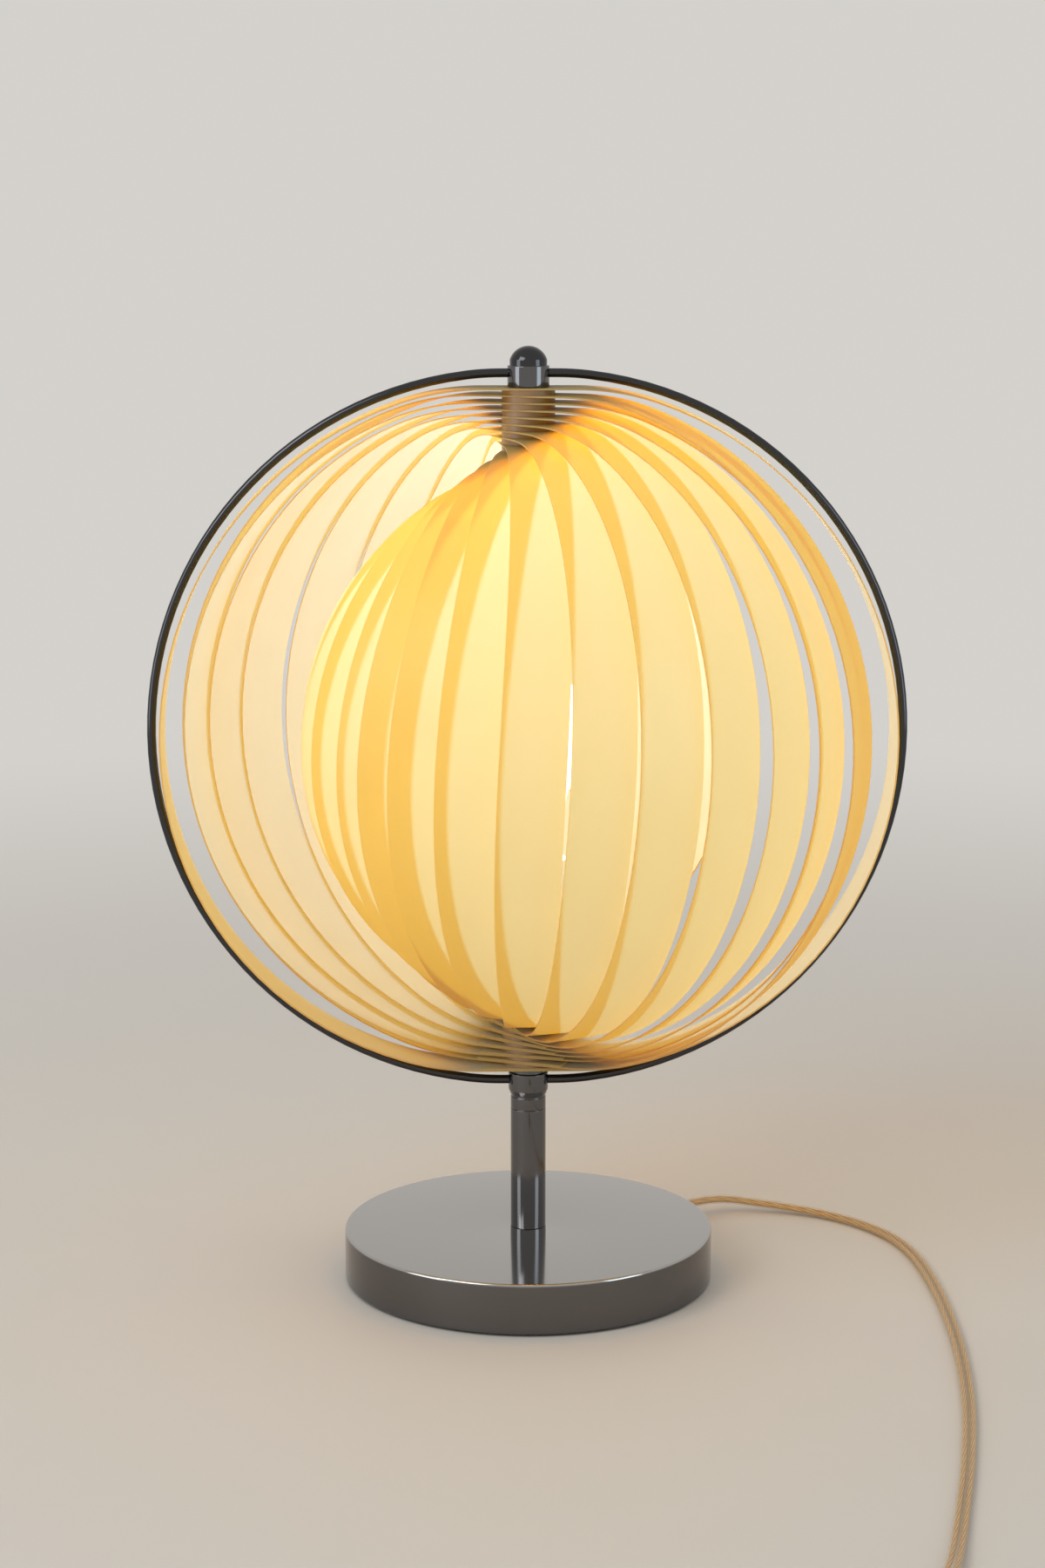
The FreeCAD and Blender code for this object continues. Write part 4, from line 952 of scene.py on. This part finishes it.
# The darker copper is painted shade between the strands, and the brighter one a painted highlight on them.
COPPER_PAINTED_SHADE = (0.40, 0.19, 0.05)
COPPER_PAINTED_HIGHLIGHT = (0.86, 0.52, 0.19)
sheath = Finish("clear_sheath")
sheath_body = sheath.add("ShaderNodeBsdfPrincipled", {
    "Base Color": (0.86, 0.74, 0.50, 1), "Roughness": 0.07 + 0.08 * sheath.noise(200), "IOR": 1.5,
    "Alpha": 0.26})
paint(sheath.done(sheath_body), cord)

strands = Finish("copper_strands")
uv = strands.add("ShaderNodeUVMap", uv_map="UVMap")
around = strands.part_of(uv, 0)
along = strands.part_of(uv, 1)
twist_angle = 2 * math.pi * (STRANDS_AROUND * around + TWISTS_A_METRE * along)
twist = strands.add("ShaderNodeMath", {0: twist_angle}, operation="SINE")
strand_body = strands.add("ShaderNodeBsdfPrincipled", {
    "Base Color": strands.mixed(0.5 + 0.5 * twist, COPPER_PAINTED_SHADE, COPPER_PAINTED_HIGHLIGHT), "Metallic": 0.9,
    "Roughness": 0.35,
    "Normal": strands.add("ShaderNodeBump", {"Strength": 0.5, "Distance": 0.0003, "Height": twist})})
paint(strands.done(strand_body), *core_pieces)

# %% [markdown]
# The bulb's glass is frosted and glows, and the filament in it is brighter. To a shadow ray the glass is
# nearly clear, so it doesn't shade the light that stands inside it.

# %% Bulb glass and filament
frosted = Finish("frosted_bulb")
frosted_body = frosted.add("ShaderNodeBsdfPrincipled", {
    "Base Color": (0.95, 0.93, 0.88, 1), "Roughness": 0.4 + 0.1 * frosted.noise(300),
    "Emission Color": (1.0, 0.86, 0.62, 1), "Emission Strength": 2.0})
lets_through = frosted.add("ShaderNodeBsdfTransparent", {"Color": (1.0, 0.97, 0.92, 1)})
is_shadow = frosted.add("ShaderNodeLightPath", out="Is Shadow Ray")
frosted_surface = frosted.add("ShaderNodeMixShader", {0: is_shadow, 1: frosted_body, 2: lets_through})
paint(frosted.done(frosted_surface), bulb)

filament = Finish("filament")
hot_wire = filament.done(filament.add("ShaderNodeBsdfPrincipled", {
    "Base Color": (1, 0.8, 0.45, 1), "Roughness": 0.5, "Emission Color": (1, 0.72, 0.35, 1),
    "Emission Strength": 3.0}))
paint(hot_wire, nodes["bulb_filament"])

# %% [markdown]
# ## The pieces that stay as the CAD has them
#
# Nuts, washers, the weight, the lampholder, the switch and the plug keep their CAD meshes, because their
# shape is right already. Each gets the finish of what it is made of: steel, brass, nickel, iron, rubber or a
# plastic. The spacers' dark brown is painted shade, and the grub screws take the chrome painted darker.

# %% Plastics and metals


def plastic(name, colour, rough, grain, depth=0.0, change=0.06):
    """A moulded or cast surface: colour and roughness vary a little, and a depth in mm gives it a grain."""
    finish = Finish(name)
    spread = finish.noise(grain / 8, 3)
    darker = tuple(channel * (1 - change) for channel in colour)
    sockets = {"Base Color": finish.mixed(spread, darker, colour), "Roughness": rough + 0.1 * spread}
    if depth:
        sockets["Normal"] = finish.add("ShaderNodeBump", {
            "Strength": 0.4, "Distance": depth * MM, "Height": finish.noise(grain, 5)})
    return finish.done(finish.add("ShaderNodeBsdfPrincipled", sockets))


steel = metal("zinc_steel", (0.62, 0.63, 0.64), 0.28, 0.15, 90)
brass = metal("brass", (0.83, 0.62, 0.27), 0.22, 0.12, 80)
nickel = metal("cap_metal", (0.70, 0.69, 0.66), 0.25, 0.12, 80)
iron = plastic("cast_iron", (0.16, 0.16, 0.17), 0.65, 500, 0.3, 0.3)
rubber = plastic("foot_rubber", (0.035, 0.035, 0.037), 0.7, 900, 0.1, 0.2)
clear_moulding = plastic("clear_moulding", (0.80, 0.76, 0.66), 0.2, 300)
wire_sheath = plastic("wire_sheath", (0.75, 0.62, 0.38), 0.35, 300)
# The spacers' dark brown is painted shade.
spacer_plastic = plastic("spacer_plastic", (0.27, 0.16, 0.08), 0.35, 300)
thermoset = plastic("white_thermoset", (0.86, 0.85, 0.81), 0.3, 400, 0.05)
fitting_plastic = plastic("cord_fittings", (0.88, 0.86, 0.80), 0.32, 500, 0.05)
print("materials so far:", len(bpy.data.materials))

# %% Finishes for the CAD nodes
MADE_OF = {
    steel: ["bottom_plate", "base_screws", "threaded_tube", "base_washer", "base_nut", "lock_washer",
            "lock_nut", "top_pin", "pin_washer", "pin_nut", "switch_screws"],
    brass: ["centre_contact", "threaded_sleeve", "switch_contacts"],
    nickel: ["bulb_cap", "plug_pins"],
    chrome_painted_darker: ["grub_screws"],
    iron: ["base_weight"],
    rubber: ["foot_pad"],
    clear_moulding: ["cord_bushing"],
    wire_sheath: ["inner_wires"],
    spacer_plastic: ["upper_spacers", "lower_spacers"],
    thermoset: ["holder_shell", "holder_insert"],
    fitting_plastic: ["cord_grip", "switch_base", "switch_cover", "switch_rocker", "plug_body"]}
for material, names in MADE_OF.items():
    paint(material, *(nodes[name] for name in names))
unpainted = [name for name, node in nodes.items() if not node.hide_render and not node.data.materials]
print("nodes without a finish:", unpainted)

# %% [markdown]
# The cord and its cores, the switch and the plug are what can be laid another way.

# %% The cord
print("the cord, its cores, the switch and the plug can be laid another way")

# %% [markdown]
# ## Floor, light and sky
#
# The floor is a wide pale square. Near the lamp it is lit and keeps the lamp's shadow, and farther out it
# fades to the plain pale colour of the sky, so there is no horizon. The sky lights everything softly.

# %% Floor and sky
PALE = (0.66, 0.64, 0.61)
SLIGHTLY_DARKER = (0.645, 0.625, 0.595)
FLOOR_REACH = 8
FADE_FROM = 0.45
FADE_TO = 1.5
floor_corners = [(x * FLOOR_REACH, y * FLOOR_REACH, 0) for x, y in ((-1, -1), (1, -1), (1, 1), (-1, 1))]
floor = build("floor", floor_corners, [[0, 1, 2, 3]])
ground = Finish("pale_floor")
distance = ground.add("ShaderNodeVectorMath", {0: ground.place()}, out="Value", operation="LENGTH")
fade = ground.add("ShaderNodeMapRange", {"Value": distance, "From Min": FADE_FROM, "From Max": FADE_TO},
                  interpolation_type="SMOOTHSTEP")
matt = ground.add("ShaderNodeBsdfPrincipled", {
    "Base Color": ground.mixed(ground.noise(5), SLIGHTLY_DARKER, PALE), "Roughness": 0.6})
plain = ground.add("ShaderNodeEmission", {"Color": (*PALE, 1)})
paint(ground.done(ground.add("ShaderNodeMixShader", {0: fade, 1: matt, 2: plain})), floor)

world = bpy.data.worlds.new("sky")
bpy.context.scene.world = world
world.use_nodes = True
background = world.node_tree.nodes["Background"]
background.inputs["Color"].default_value = (*PALE, 1)
background.inputs["Strength"].default_value = 1.0
print("the floor fades to the sky between", FADE_FROM, "and", FADE_TO, "m")

# %% [markdown]
# A large soft light at the upper left lights the lamp and the floor. Two tall ones, left and right, light
# the lamp's own pieces alone (Blender calls it light linking), so they put long soft streaks on the chrome
# and leave the floor plain.

# %% Pieces with a light of their own
ON_THE_CORD = ("switch", "plug", "cord")
lit_nodes = [nodes[name] for names in MADE_OF.values() for name in names if not name.startswith(ON_THE_CORD)]
own_light = bpy.data.collections.new("own_light")
for piece in [*(hoop for hoop, _ in hoops), cover, stem, fitting, barrel, dome, bulb, *ring_pieces,
              *lit_nodes, nodes["bulb_filament"]]:
    own_light.objects.link(piece)

# %% Soft lights
KEY_PLACE = (-1.4, -1.2, 1.6)
KEY_AIM = (0, 0, 0.2)
KEY_SIZE = (1.2, 1.2)
KEY_POWER = 16
TALL_DISTANCE = 1.5
TALL_HEIGHT = 0.55
TALL_SIZE = (0.62, 1.0)
TALL_POWER = 5
TALL_LIGHTS = {"left_strip": (-66, (0.85, 0.93, 1.0)), "right_strip": (58, (0.74, 0.88, 1.0))}


def area_lamp(name, place, aim, size, power, colour=(1, 1, 1)):
    """A soft lamp of a width and a height, in metres, that stands at one point and faces another."""
    data = bpy.data.lights.new(name, "AREA")
    data.shape, data.size, data.size_y = "RECTANGLE", *size
    data.energy, data.color = power, colour
    lamp = bpy.data.objects.new(name, data)
    bpy.context.scene.collection.objects.link(lamp)
    lamp.location = place
    lamp.rotation_euler = (Vector(aim) - Vector(place)).to_track_quat("-Z", "Y").to_euler()
    print(name, "at", [round(value, 2) for value in place])
    return lamp


area_lamp("key", KEY_PLACE, KEY_AIM, KEY_SIZE, KEY_POWER)
for name, (turn, colour) in TALL_LIGHTS.items():
    place = turn_about_z(np.array([0, -TALL_DISTANCE, TALL_HEIGHT]), turn).tolist()
    tall = area_lamp(name, place, (0, 0, TALL_HEIGHT), TALL_SIZE, TALL_POWER, colour)
    tall.light_linking.receiver_collection = own_light

# %% [markdown]
# A photograph evens out bright places, so a lit shade looks more even in it than its light is. Two point
# lamps on the axis stand for the bulb and give that look. The one in the bulb lights all the hoops, and
# falls off with the distance instead of its square. The one above the bulb is weak and bluish, and makes the
# hoops near it whiter. Both light the lamp's own pieces alone.

# %% The bulb's light


def bulb_lamp(name, height, power, colour, radius):
    """A point lamp on the axis that lights only the lamp's own pieces."""
    data = bpy.data.lights.new(name, "POINT")
    data.energy, data.color, data.shadow_soft_size = power, colour, radius
    glow = bpy.data.objects.new(name, data)
    bpy.context.scene.collection.objects.link(glow)
    glow.location = (0, 0, height)
    glow.visible_camera = False
    glow.light_linking.receiver_collection = own_light
    print(name, "at a height of", height, "m")
    return data


even_light = bulb_lamp("bulb_even", height=0.275, power=6.8, colour=(1.0, 0.895, 0.85), radius=0.02)
even_light.use_nodes = True
even_tree = ShaderTree(even_light.node_tree)
falloff = even_tree.add("ShaderNodeLightFalloff", {"Strength": 1.0}, out="Linear")
even_glow = even_tree.add("ShaderNodeEmission", {"Color": (1, 1, 1, 1), "Strength": falloff})
even_tree.add("ShaderNodeOutputLight", {"Surface": even_glow})
bulb_lamp("bulb_top", height=0.315, power=0.42, colour=(0.62, 0.74, 1.0), radius=0.015)

# %% [markdown]
# ## Finish
#
# The Standard view shows colours as they are written.

# %% Finish
bpy.context.scene.view_settings.view_transform = "Standard"
